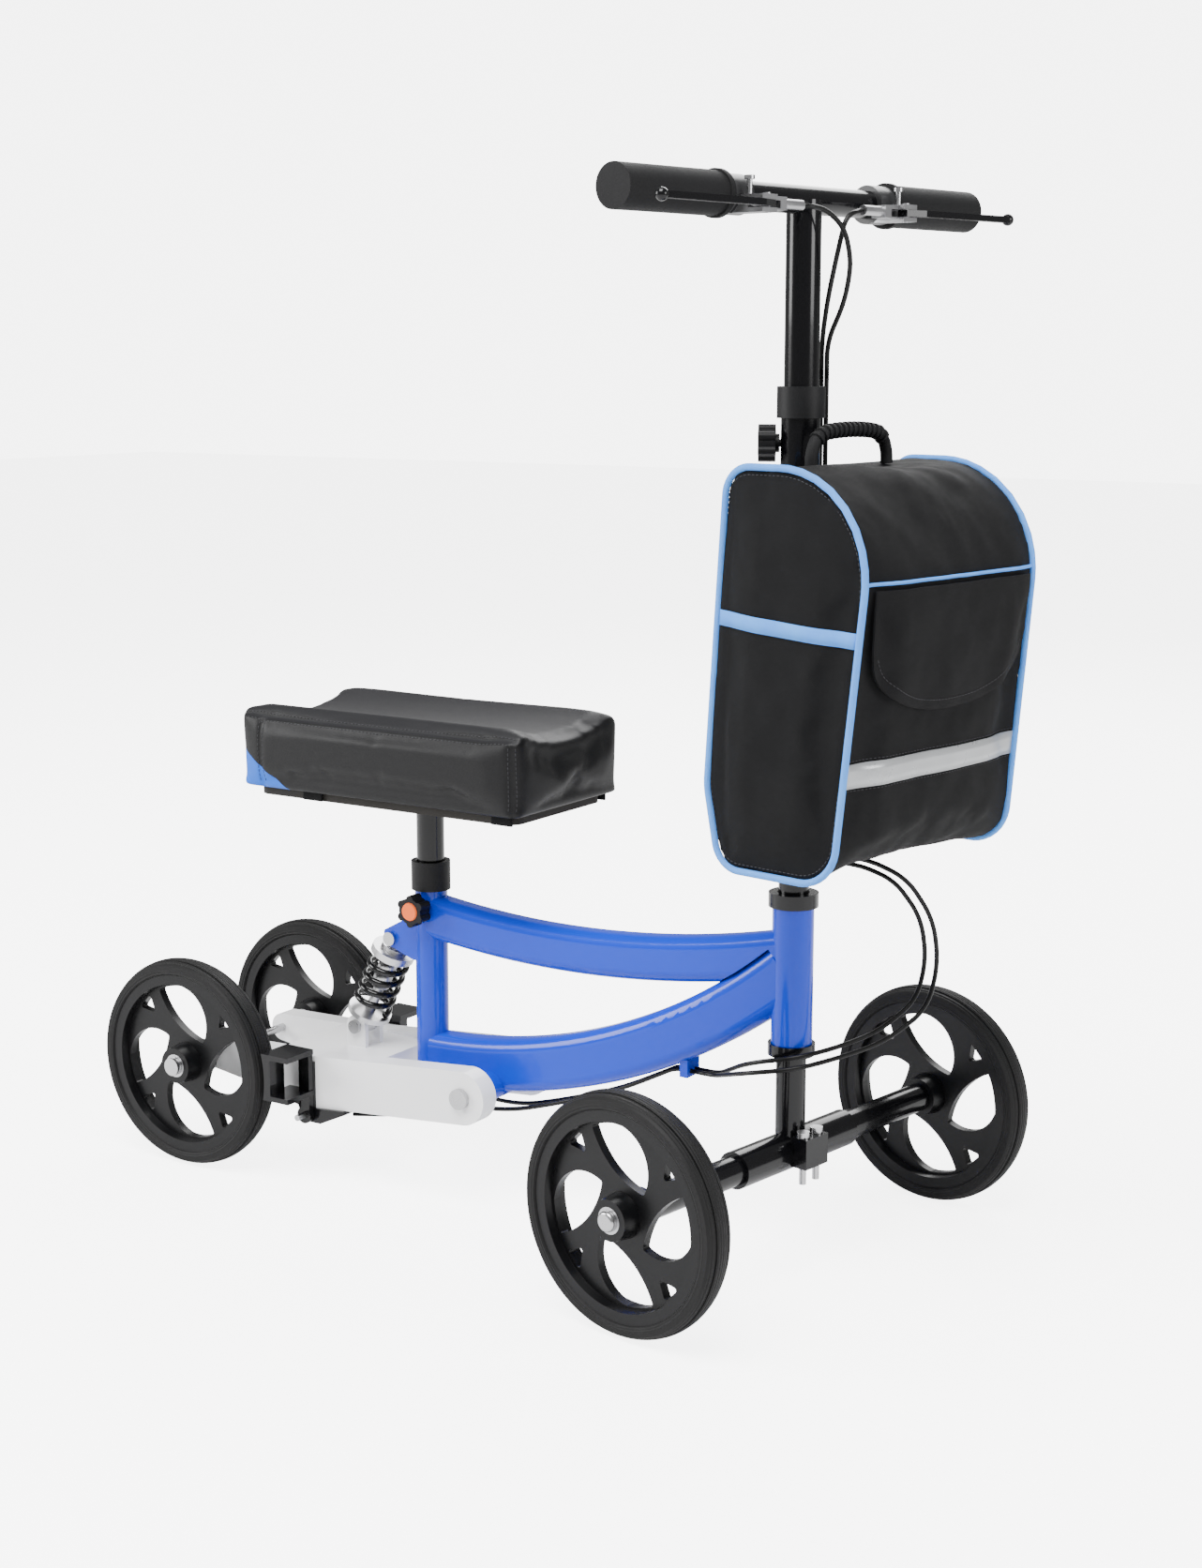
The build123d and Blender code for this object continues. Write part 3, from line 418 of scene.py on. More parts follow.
def smooth_path(points, steps=8):
    """Points along a Catmull-Rom curve through the given ones."""
    points = [Vector(point) for point in points]
    ends = [points[0] * 2 - points[1], *points, points[-1] * 2 - points[-2]]
    path = []
    for a, b, c, d in zip(ends, ends[1:], ends[2:], ends[3:]):
        for step in range(steps):
            t = step / steps
            path.append(
                0.5 * (b * 2 + (c - a) * t + (a * 2 - b * 5 + c * 4 - d) * t * t
                       + (b * 3 - a - c * 3 + d) * t * t * t)
            )
    return [*path, points[-1]]


def tube(name, points, radius, closed=False):
    """A round tube along a row of points, with capped ends unless it is closed."""
    curve = bpy.data.curves.new(name, "CURVE")
    curve.dimensions = "3D"
    curve.bevel_depth = radius
    curve.bevel_resolution = 3
    curve.use_fill_caps = not closed
    spline = curve.splines.new("POLY")
    spline.points.add(len(points) - 1)
    for slot, point in zip(spline.points, points):
        slot.co = (*point, 1)
    spline.use_cyclic_u = closed
    made = settle(add_object(name, curve))
    made.data.shade_smooth()
    return made


def rounded_outline(corners, radii, steps=8):
    """A closed outline with each corner replaced by an arc of its own radius."""
    corners = [Vector(corner) for corner in corners]
    outline = []
    for index, (corner, radius) in enumerate(zip(corners, radii)):
        back = (corners[index - 1] - corner).normalized()
        ahead = (corners[(index + 1) % len(corners)] - corner).normalized()
        half = back.angle(ahead) / 2
        middle = corner + (back + ahead).normalized() * (radius / math.sin(half))
        first = corner + back * (radius / math.tan(half)) - middle
        last = corner + ahead * (radius / math.tan(half)) - middle
        for step in range(steps + 1):
            t = step / steps
            spoke = first * (1 - t) + last * t
            outline.append(middle + spoke.normalized() * radius)
    return outline


def dash_tree():
    """Geometry nodes: short round bars at an even spacing along an edge path, realised, with a material."""
    tree = bpy.data.node_groups.new("Dashes", "GeometryNodeTree")
    shape = tree.interface
    shape.new_socket("Path", in_out="INPUT", socket_type="NodeSocketGeometry")
    for label, size in (("Spacing", 4 * MM), ("Length", 2.4 * MM), ("Radius", 0.4 * MM)):
        socket = shape.new_socket(label, in_out="INPUT", socket_type="NodeSocketFloat")
        socket.default_value = size
    shape.new_socket("Material", in_out="INPUT", socket_type="NodeSocketMaterial")
    shape.new_socket("Dashes", in_out="OUTPUT", socket_type="NodeSocketGeometry")
    make = tree.nodes.new
    join = tree.links.new
    source = make("NodeGroupInput")
    result = make("NodeGroupOutput")
    to_curve = make("GeometryNodeMeshToCurve")
    resample = make("GeometryNodeResampleCurve")
    resample.mode = "LENGTH"
    tangent = make("GeometryNodeInputTangent")
    align = make("FunctionNodeAlignRotationToVector")
    align.axis = "Z"
    bar = make("GeometryNodeMeshCylinder")
    bar.inputs["Vertices"].default_value = 10
    instance = make("GeometryNodeInstanceOnPoints")
    realize = make("GeometryNodeRealizeInstances")
    paint = make("GeometryNodeSetMaterial")
    join(source.outputs["Path"], to_curve.inputs["Mesh"])
    join(to_curve.outputs["Curve"], resample.inputs["Curve"])
    join(source.outputs["Spacing"], resample.inputs["Length"])
    join(tangent.outputs["Tangent"], align.inputs["Vector"])
    join(source.outputs["Length"], bar.inputs["Depth"])
    join(source.outputs["Radius"], bar.inputs["Radius"])
    join(resample.outputs["Curve"], instance.inputs["Points"])
    join(align.outputs["Rotation"], instance.inputs["Rotation"])
    join(bar.outputs["Mesh"], instance.inputs["Instance"])
    join(instance.outputs["Instances"], realize.inputs["Geometry"])
    join(realize.outputs["Geometry"], paint.inputs["Geometry"])
    join(source.outputs["Material"], paint.inputs["Material"])
    join(paint.outputs["Geometry"], result.inputs["Dashes"])
    return tree


def dashes(name, paths, spacing, length, radius, material):
    """Stitches or ribs along several paths, as one plain mesh."""
    tree = bpy.data.node_groups.get("Dashes") or dash_tree()
    points = []
    edges = []
    for path in paths:
        start = len(points)
        points.extend(tuple(point) for point in path)
        edges.extend((start + index, start + index + 1) for index in range(len(path) - 1))
    mesh = bpy.data.meshes.new(name)
    mesh.from_pydata(points, edges, [])
    made = add_object(name, mesh)
    modifier = made.modifiers.new("Dashes", "NODES")
    modifier.node_group = tree
    values = {"Spacing": spacing, "Length": length, "Radius": radius, "Material": material}
    for item in tree.interface.items_tree:
        if item.in_out == "INPUT" and item.name in values:
            modifier[item.identifier] = values[item.name]
    made = settle(made)
    for loop_face in made.data.polygons:
        loop_face.use_smooth = len(loop_face.vertices) == 4
    return made


def normals_of(piece):
    """The vertex normals, read before any vertex moves."""
    return [vertex.normal.copy() for vertex in piece.data.vertices]


def swell(piece, voxel, pressure, cap, held):
    """Remeshes a soft piece, blows it up as cloth, and lets each point move at most cap times held(point)."""
    remesh = piece.modifiers.new("Voxels", "REMESH")
    remesh.mode = "VOXEL"
    remesh.voxel_size = voxel
    settle(piece)
    before = [vertex.co.copy() for vertex in piece.data.vertices]
    cloth = piece.modifiers.new("Swell", "CLOTH")
    cloth.settings.quality = 4
    cloth.settings.use_pressure = True
    cloth.settings.uniform_pressure_force = pressure
    cloth.settings.effector_weights.gravity = 0
    last_frame = 20
    cloth.point_cache.frame_end = last_frame
    scene = bpy.context.scene
    for frame_number in range(1, last_frame + 1):
        scene.frame_set(frame_number)
    graph = bpy.context.evaluated_depsgraph_get()
    after = [vertex.co.copy() for vertex in piece.evaluated_get(graph).data.vertices]
    piece.modifiers.clear()
    scene.frame_set(1)
    for vertex, old, new in zip(piece.data.vertices, before, after):
        move = new - old
        limit = cap * held(old)
        if move.length > limit:
            move = move.normalized() * limit
        vertex.co = old + move
    subdivide = piece.modifiers.new("Smooth", "SUBSURF")
    subdivide.levels = 1
    subdivide.render_levels = 1
    settle(piece)
    piece.data.shade_smooth()


def give(piece, material, body):
    """The piece takes this material and rides on the body."""
    piece.data.materials.clear()
    piece.data.materials.append(material)
    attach(piece, body)
    return piece


def paint_nodes(material, *nodes):
    for node in nodes:
        mesh = NODES[node].data
        mesh.materials.clear()
        mesh.materials.append(material)


# ---------------------------------------------------------------- settings


class PaintSettings(bpy.types.PropertyGroup):
    """Colours that a user would change."""

    frame_colour: bpy.props.FloatVectorProperty(
        name="Frame", description="Colour of the frame's tubes", subtype="COLOR",
        default=(0.0, 0.036, 0.56), min=0, max=1,
    )
    trim_colour: bpy.props.FloatVectorProperty(
        name="Trim", description="Colour of the bag's piping and tape", subtype="COLOR",
        default=(0.07, 0.24, 0.78), min=0, max=1,
    )
    knob_colour: bpy.props.FloatVectorProperty(
        name="Knob disc", description="Colour of the disc on the seat knob", subtype="COLOR",
        default=(0.9, 0.13, 0.02), min=0, max=1,
    )


class SoftSettings(bpy.types.PropertyGroup):
    """Sizes of the soft pieces."""

    pad_swell: bpy.props.FloatProperty(
        name="Pad swell", description="Furthest that the knee pad's cover moves out", unit="LENGTH",
        default=3.5 * MM, min=0,
    )
    bag_swell: bpy.props.FloatProperty(
        name="Bag swell", description="Furthest that the bag's panels move out", unit="LENGTH",
        default=6 * MM, min=0,
    )
    piping_radius: bpy.props.FloatProperty(
        name="Piping", description="Radius of the bag's edge piping", unit="LENGTH",
        default=2.9 * MM, min=0.5 * MM,
    )
    stitch_spacing: bpy.props.FloatProperty(
        name="Stitches", description="Distance from stitch to stitch", unit="LENGTH",
        default=4 * MM, min=2 * MM,
    )


def paints():
    return bpy.context.scene.scooter_paint


def softs():
    return bpy.context.scene.scooter_soft


def finish_named(name):
    """A material that the first operator made."""
    return bpy.data.materials[name]


# ---------------------------------------------------------------- hard pieces


class SCOOTER_OT_finishes(bpy.types.Operator):
    """Makes the materials and gives them to the CAD nodes"""

    bl_idname = "scooter.finishes"
    bl_label = "Finishes"

    def execute(self, context):
        trim = tuple(paints().trim_colour)
        blue = gloss_paint("Blue paint", tuple(paints().frame_colour))
        black = gloss_paint("Black paint", (0.003, 0.003, 0.0037), 0.2)
        white = gloss_paint("White paint", (0.94, 0.94, 0.95), 0.3, 0.4)
        coil = gloss_paint("Coil paint", (0.003, 0.003, 0.0035), 0.18, 0.4)
        steel = metal("Steel", (0.55, 0.55, 0.56), 0.28)
        alloy = metal("Alloy", (0.66, 0.66, 0.67), 0.3, 700)
        plastic = moulded("Black plastic", (0.006, 0.006, 0.0066), 0.5)
        wheel_plastic = moulded("Wheel plastic", (0.0035, 0.0035, 0.004), 0.34, 500, 0.03)
        grip = moulded("Grip rubber", (0.006, 0.006, 0.0065), 0.72, 420, 0.12)
        housing = moulded("Cable housing", (0.004, 0.004, 0.004), 0.34, 900, 0.02)
        board = moulded("Board", (0.02, 0.018, 0.016), 0.65, 200, 0.1)
        woven("Nylon", (0.0026, 0.0026, 0.003))
        woven("Trim fabric", trim, 0.7, 0.6)
        # Pad cover: black vinyl, a painted highlight (lighter grey) on its up-facing top, and the blue of its
        # rear lower corners.
        leatherette("Pad cover", (0.004, 0.004, 0.0045), (0.011, 0.011, 0.0125), (0.01, 0.12, 0.6))
        moulded("Thread", (0.03, 0.03, 0.033), 0.6, 900, 0.02)
        moulded("Knob disc", tuple(paints().knob_colour), 0.4, 600, 0.03)
        reflective("Reflective tape")
        paint_nodes(blue, "head_tube", "top_tube", "down_tube", "seat_tube")
        paint_nodes(
            black, "steerer", "front_axle", "fold_base", "fold_head", "column_tube", "stem_tube", "handlebar",
            "seat_post", "headset_cups", "brake_brackets", "fold_latch",
        )
        paint_nodes(white, "swing_arm")
        paint_nodes(coil, "shock_spring")
        paint_nodes(
            steel, "headset_bearings", "frame_bolts", "front_hub_bolts", "clamp_bolts", "rear_axle",
            "arm_pins", "fold_pin", "lock_pin_left", "lock_pin_right",
        )
        paint_nodes(lever_alloy("Lever alloy"), "lever_clamps")
        paint_nodes(alloy, "shock_body", "shock_rod")
        paint_nodes(plastic, "seat_collar", "column_collar", "column_knob", "seat_knob")
        paint_nodes(grip, "grips", "bag_handle")
        paint_nodes(board, "pad_board")
        for side in SIDES:
            paint_nodes(black, f"brake_lever_{side}", f"brake_arm_{side}")
            for end in ("front", "rear"):
                corner = f"{end}_{side}"
                low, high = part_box(f"tyre_{corner}")
                turn = steer_angle if end == "front" else 0
                rubber = tyre_rubber(f"Tyre {end} {side}", (low + high) / 2, turn)
                paint_nodes(rubber, f"tyre_{corner}")
                paint_nodes(wheel_plastic, f"rim_{corner}")
                paint_nodes(steel, f"bearings_{corner}")
        paint_nodes(housing, "cables_column", "cables_frame")
        return {"FINISHED"}


class SCOOTER_OT_spring(bpy.types.Operator):
    """The coil of the shock, copied onto the shock's upper body"""

    bl_idname = "scooter.spring"
    bl_label = "Shock spring"

    def execute(self, context):
        top = Vector(JOINTS["shock_upper_swing"]["pos_m"])
        bottom = Vector(JOINTS["shock_lower_swing"]["pos_m"])
        top.y = bottom.y = 0
        coil = node_copy("shock_spring", "coil")
        give(coil, finish_named("Coil paint"), "shock_upper")
        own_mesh(coil)
        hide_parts("shock_spring")
        return {"FINISHED"}


class SCOOTER_OT_knob_disc(bpy.types.Operator):
    """The coloured disc let into the seat knob's face"""

    bl_idname = "scooter.knob_disc"
    bl_label = "Knob disc"

    def execute(self, context):
        low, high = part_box("seat_knob")
        middle = (low + high) / 2
        radius = 8.5 * MM
        thickness = 1.6 * MM
        chamfer = 0.8 * MM
        proud = 0.7 * MM
        place = Matrix.Translation((middle.x, low.y - proud, middle.z))
        facing = Matrix.Rotation(math.pi / 2, 4, "X")
        mesh = bpy.data.meshes.new("knob_disc")
        work = bmesh.new()
        bmesh.ops.create_cone(
            work, cap_ends=True, segments=48, radius1=radius, radius2=radius - chamfer, depth=thickness,
            matrix=place @ facing,
        )
        work.to_mesh(mesh)
        work.free()
        disc = add_object("knob_disc", mesh)
        give(disc, finish_named("Knob disc"), "seat_knob")
        return {"FINISHED"}


# ---------------------------------------------------------------- cables


class SCOOTER_OT_cables(bpy.types.Operator):
    """The cable stretches between the bodies, as copies of the CAD cables"""

    bl_idname = "scooter.cables"
    bl_label = "Brake cables"

    def execute(self, context):
        stretches = (
            ("cables_bar", "column", "handle", steered(0, 0, 0.76), steered(0, 0, 0.86)),
            ("cables_loop", "steering", "frame", steered(0.06, 0.02, 0.2), steered(-0.09, 0, 0.165)),
            ("cables_arm", "frame", "swing_arm", Vector((-0.075, 0, 0.08)), Vector((-0.17, 0, 0.06))),
        )
        for node, first, second, start, end in stretches:
            piece = node_copy(node, node.replace("cables_", "cable_"))
            piece.data.materials.append(finish_named("Cable housing"))
            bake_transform(piece)
            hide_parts(node)
        return {"FINISHED"}


# ---------------------------------------------------------------- knee pad


def onto(tree, path, direction, lift):
    """Each point of the path moved along direction onto the surface, and lifted off it."""
    direction = Vector(direction).normalized()
    landed = []
    for point in path:
        hit, normal, _, _ = tree.ray_cast(Vector(point) - direction * 0.2, direction)
        if hit is not None:
            landed.append(hit + normal * lift)
    return landed


def surface_of(piece):
    return BVHTree.FromPolygons(
        [vertex.co.copy() for vertex in piece.data.vertices],
        [tuple(face.vertices) for face in piece.data.polygons],
    )


class SCOOTER_OT_knee_pad(bpy.types.Operator):
    """The padded knee rest with its seams, stitches and strap ends"""

    bl_idname = "scooter.knee_pad"
    bl_label = "Knee pad"

    def execute(self, context):
        low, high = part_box("knee_pad")
        middle = (low + high) / 2
        size = high - low
        shrink = 2 * softs().pad_swell
        pad = node_copy("knee_pad", "pad_cover")
        for vertex in pad.data.vertices:
            away = vertex.co - middle
            vertex.co.x = middle.x + away.x * (1 - shrink / size.x)
            vertex.co.y = middle.y + away.y * (1 - shrink / size.y)
            vertex.co.z = low.z + (vertex.co.z - low.z) * (1 - softs().pad_swell / size.z)

        glued_height = 14 * MM

        def held(point):
            return max(0.0, min(1.0, (point.z - low.z) / glued_height))

        swell(pad, 4 * MM, 4.0, softs().pad_swell, held)
        seam_depth = 1.6 * MM
        seam_width = 3 * MM
        panel_inset = 9 * MM
        panel_half = size.y / 2 - panel_inset
        corner_seams = (low.x + 32 * MM, high.x - 11 * MM)
        for vertex, normal in zip(pad.data.vertices, normals_of(pad)):
            away = vertex.co - middle
            top = normal.z > 0.6
            along = abs(abs(away.y) - panel_half) if top else 1
            upright = 1
            if not top and abs(normal.y) > 0.5:
                upright = min(abs(vertex.co.x - seam) for seam in corner_seams)
            near = min(along, upright)
            vertex.co -= normal * (seam_depth * math.exp(-((near / seam_width) ** 2)))
        pad.data.update()
        give(pad, finish_named("Pad cover"), "knee_rest")
        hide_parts("knee_pad")

        skin = surface_of(pad)
        runs = []
        seam_offsets = (-3, 3)
        end_margin = 12 * MM
        foot_margin = 8 * MM
        seam_height = 52 * MM
        outside = 0.3
        steps = 90
        rises = 20
        for side in (-1, 1):
            for offset in seam_offsets:
                y = middle.y + side * (panel_half + offset * MM)
                line = [
                    (low.x + end_margin + (size.x - 2 * end_margin) * step / steps, y, high.z)
                    for step in range(steps + 1)
                ]
                runs.append(onto(skin, line, (0, 0, -1), STITCH_LIFT))
            for seam in corner_seams:
                for offset in seam_offsets:
                    x = seam + offset * MM
                    y = middle.y + side * outside
                    line = [
                        (x, y, low.z + foot_margin + seam_height * step / rises) for step in range(rises + 1)
                    ]
                    runs.append(onto(skin, line, (0, -side, 0), STITCH_LIFT))
        stitches = dashes(
            "pad_stitches", [run for run in runs if len(run) > 1], softs().stitch_spacing,
            STITCH_LENGTH, STITCH_RADIUS, finish_named("Thread"),
        )
        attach(stitches, "knee_rest")
        self.straps(low, high)
        return {"FINISHED"}

    def straps(self, low, high):
        """The four strap ends that show under the pad's edges."""
        points = []
        faces = []
        width, drop, thick = 22 * MM, 9 * MM, 2.5 * MM
        rear_inset, front_inset, side_inset = 84 * MM, 26 * MM, 13 * MM
        box_faces = ((0, 2, 3, 1), (4, 5, 7, 6), (0, 1, 5, 4), (2, 6, 7, 3), (0, 4, 6, 2), (1, 3, 7, 5))
        for x in (low.x + rear_inset, high.x - front_inset):
            for side in (-1, 1):
                y = side * (high.y - side_inset)
                start = len(points)
                for corner in range(8):
                    points.append((
                        x + width * (0.5 if corner & 1 else -0.5),
                        y + thick * (0.5 if corner & 2 else -0.5),
                        low.z + 1 * MM - (drop if corner & 4 else 0),
                    ))
                faces.extend(tuple(start + index for index in face) for face in box_faces)
        tabs = mesh_object("pad_straps", points, faces, smooth=False)
        bevel = tabs.modifiers.new("Edges", "BEVEL")
        bevel.width = 0.8 * MM
        bevel.segments = 2
        settle(tabs)
        give(tabs, finish_named("Nylon"), "knee_rest")


# ---------------------------------------------------------------- bag


def bag_outline():
    """The rounded outline of the bag's side, in the steering's directions, as (x, 0, z)."""
    corners = [(x * MM, 0, z * MM) for x, z, _ in BAG_CORNERS]
    return rounded_outline(corners, [radius * MM for _, _, radius in BAG_CORNERS], 10)


def narrowing(z):
    """The bag's width at this height, as a share of its width at the foot."""
    rise = max(0.0, min(1.0, (z - NARROWING_START) / NARROWING_RISE))
    return 1 - NARROWING_SHARE * rise * rise


def flap_edge(share):
    """How far the flap hangs at this share of its half width: straight sides, then a round lower edge."""
    round_part = math.sqrt(max(0.0, 1 - abs(share) ** FLAP_ROUNDNESS))
    return FLAP_DROP * (FLAP_STRAIGHT + (1 - FLAP_STRAIGHT) * round_part)


def outline_distance(outline, x, z):
    """Distance from a point of the side panel to the outline."""
    here = Vector((x, 0, z))
    nearest = 1.0
    for start, end in zip(outline, [*outline[1:], outline[0]]):
        run = end - start
        if run.length_squared < 1e-12:
            continue
        share = max(0.0, min(1.0, (here - start).dot(run) / run.length_squared))
        nearest = min(nearest, (here - start - run * share).length)
    return nearest


def ribbon(name, skin, rows, direction, lift, thickness):
    """A strip laid on a surface: rows of points cast onto it, then given a thickness."""
    landed = [onto(skin, row, direction, lift) for row in rows]
    count = min(len(row) for row in landed)
    points = [point for row in landed for point in row[:count]]
    faces = []
    for row in range(len(landed) - 1):
        for column in range(count - 1):
            first = row * count + column
            faces.append((first, first + 1, first + count + 1, first + count))
    strip = mesh_object(name, points, faces)
    outward = -Vector(direction)
    if sum(face.normal.dot(outward) for face in strip.data.polygons) < 0:
        strip.data.flip_normals()
    solid = strip.modifiers.new("Thickness", "SOLIDIFY")
    solid.thickness = thickness
    solid.offset = 1
    settle(strip)
    return strip


class SCOOTER_OT_bag(bpy.types.Operator):
    """The soft bag with its piping, tape, reflective strip, flap and carry handle"""

    bl_idname = "scooter.bag"
    bl_label = "Bag"

    def execute(self, context):
        outline = bag_outline()
        back = PARKED.inverted()
        bag = node_copy("bag", "bag_shell")
        stiff_back = 24 * MM
        side_skin = 1.5 * MM
        from_outline = 38 * MM
        from_side = 42 * MM
        from_back = 30 * MM

        def held(point):
            """The share of the swelling allowed here: none at the back and the seams."""
            place = back @ point
            y = abs(place.y)
            if place.x < stiff_back:
                return 0.0
            if y > BAG_HALF - side_skin:
                return min(1.0, outline_distance(outline, place.x, place.z) / from_outline)
            return min(1.0, (BAG_HALF - y) / from_side) * min(1.0, (place.x - stiff_back) / from_back)

        swell(bag, 5 * MM, 5.0, softs().bag_swell, held)
        fold_height = 2.2 * MM
        wide, narrow = 21, 48
        shift = Vector((3, 1, 7))
        for vertex, normal in zip(bag.data.vertices, normals_of(bag)):
            slack = held(vertex.co)
            fold = noise.noise(vertex.co * wide + shift) + 0.5 * noise.noise(vertex.co * narrow)
            moved = back @ (vertex.co + normal * (fold_height * fold * slack))
            vertex.co = steered(moved.x, moved.y * narrowing(moved.z), moved.z)
        bag.data.update()
        give(bag, finish_named("Nylon"), "column")
        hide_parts("bag")
        self.skin = surface_of(bag)
        self.trims(outline)
        self.flap()
        self.handle()
        return {"FINISHED"}

    def trims(self, outline):
        """Piping round both sides, tape across them, and the bands of the front."""
        trim = finish_named("Trim fabric")
        radius = softs().piping_radius
        out = (steered(1, 0, 0) - steered(0, 0, 0)).normalized()
        seam_paths = []
        for side in SIDES:
            sign = SIGNS[side]
            half = BAG_HALF - 0.6 * MM
            edge = [steered(p.x, sign * half * narrowing(p.z), p.z) for p in outline]
            give(tube(f"piping_{side}", edge, radius, closed=True), trim, "column")
            outward = (steered(0, sign, 0) - steered(0, 0, 0)).normalized()
            steps = 40
            rows = []
            tape_start, tape_run, tape_fall = 13, 131, 9 * MM
            for z in (TAPE_Z + TAPE_HALF, TAPE_Z, TAPE_Z - TAPE_HALF):
                row = []
                for step in range(steps + 1):
                    x = (tape_start + tape_run * step / steps) * MM
                    row.append(steered(x, sign * BAG_HALF, z - tape_fall * step / steps))
                rows.append(row)
            tape = ribbon(f"side_tape_{side}", self.skin, rows, -outward, BAND_LIFT, BAND_THICKNESS)
            give(tape, trim, "column")
            centre = sum(outline, Vector()) / len(outline)
            inner = []
            seam_inset = 6
            for point in [*outline, outline[0]]:
                pulled = point + (centre - point).normalized() * seam_inset * MM
                inner.append(steered(pulled.x, sign * BAG_HALF, pulled.z))
            seam_paths.append(onto(self.skin, inner, -outward, STITCH_LIFT))
        steps = 80
        rows = []
        strip_half = BAG_HALF - 2 * MM
        seam_half = BAG_HALF - 4 * MM
        piping_half = BAG_HALF - 7 * MM
        for offset in STRIP_OFFSETS:
            rows.append([
                steered(STRIP_FRONT, strip_half * (2 * step / steps - 1), STRIP_Z + offset * MM)
                for step in range(steps + 1)
            ])
        strip = ribbon("front_strip", self.skin, rows, -out, BAND_LIFT, BAND_THICKNESS)
        give(strip, finish_named("Reflective tape"), "column")
        for offset in STRIP_SEAM_OFFSETS:
            row = [
                steered(STRIP_FRONT, seam_half * (2 * step / steps - 1), STRIP_Z + offset * MM)
                for step in range(steps + 1)
            ]
            seam_paths.append(onto(self.skin, row, -out, STITCH_LIFT))
        line = [
            steered(FLAP_FRONT, piping_half * (2 * step / steps - 1), FLAP_TOP + 5 * MM)
            for step in range(steps + 1)
        ]
        lift, radius = 0.6 * MM, 1.5 * MM
        laid = onto(self.skin, line, -out, lift)
        give(tube("front_piping", laid, radius), trim, "column")
        stitches = dashes(
            "bag_stitches", [path for path in seam_paths if len(path) > 1], softs().stitch_spacing,
            STITCH_LENGTH, STITCH_RADIUS, finish_named("Thread"),
        )
        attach(stitches, "column")

    def flap(self):
        """The pocket flap: a panel with a round lower edge, lying on the bag's front."""
        out = (steered(1, 0, 0) - steered(0, 0, 0)).normalized()
        columns = 56
        rows = 26
        grid = []
        for row in range(rows + 1):
            line = []
            for column in range(columns + 1):
                across_share = 2 * column / columns - 1
                drop = flap_edge(across_share) * row / rows
                line.append(steered(FLAP_FRONT, FLAP_HALF * across_share, FLAP_TOP - drop))
            grid.append(line)
        lift, thickness = 1.6 * MM, 2.0 * MM
        panel = ribbon("flap_panel", self.skin, grid, -out, lift, thickness)
        belly, edge_lift = 2.6 * MM, 0.8 * MM
        for vertex in panel.data.vertices:
            height = (PARKED.inverted() @ vertex.co).z
            loose = max(0.0, FLAP_TOP - height) / FLAP_DROP
            vertex.co += out * (belly * math.sin(math.pi * min(1.0, loose)) + edge_lift * loose)
        bevel = panel.modifiers.new("Rolled edge", "BEVEL")
        bevel.width = 0.7 * MM
        bevel.segments = 2
        bevel.limit_method = "ANGLE"
        settle(panel)
        panel.data.shade_smooth()
        give(panel, finish_named("Nylon"), "bag_flap")
        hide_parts("bag_flap")
        skin = surface_of(panel)
        hem = []
        hem_rise, hem_inset = 7 * MM, 3 * MM
        for column in range(-50, 51):
            across_share = column / 52
            bottom = flap_edge(across_share) - hem_rise
            hem.append(steered(FLAP_FRONT, (FLAP_HALF - hem_inset) * across_share, FLAP_TOP - bottom))
        stitches = dashes(
            "flap_stitches", [onto(skin, hem, -out, STITCH_LIFT)], softs().stitch_spacing,
            STITCH_LENGTH, STITCH_RADIUS, finish_named("Thread"),
        )
        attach(stitches, "bag_flap")

    def handle(self):
        """The ribbed rubber carry handle."""
        route = [
            (49, -50, 678), (49, -49, 688), (49, -44, 698), (49, -32, 704), (49, 0, 706),
            (49, 32, 704), (49, 44, 698), (49, 49, 688), (49, 50, 678),
        ]
        path = smooth_path([steered(x * MM, y * MM, z * MM) for x, y, z in route], 10)
        core = tube("handle_core", path, 5 * MM)
        give(core, finish_named("Grip rubber"), "column")
        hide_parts("bag_handle")
        plain = 22
        spacing, width, radius = 6 * MM, 3.2 * MM, 6.4 * MM
        ribbed = path[plain:-plain]
        ribs = dashes("handle_ribs", [ribbed], spacing, width, radius, finish_named("Grip rubber"))
        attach(ribs, "column")


# ---------------------------------------------------------------- studio


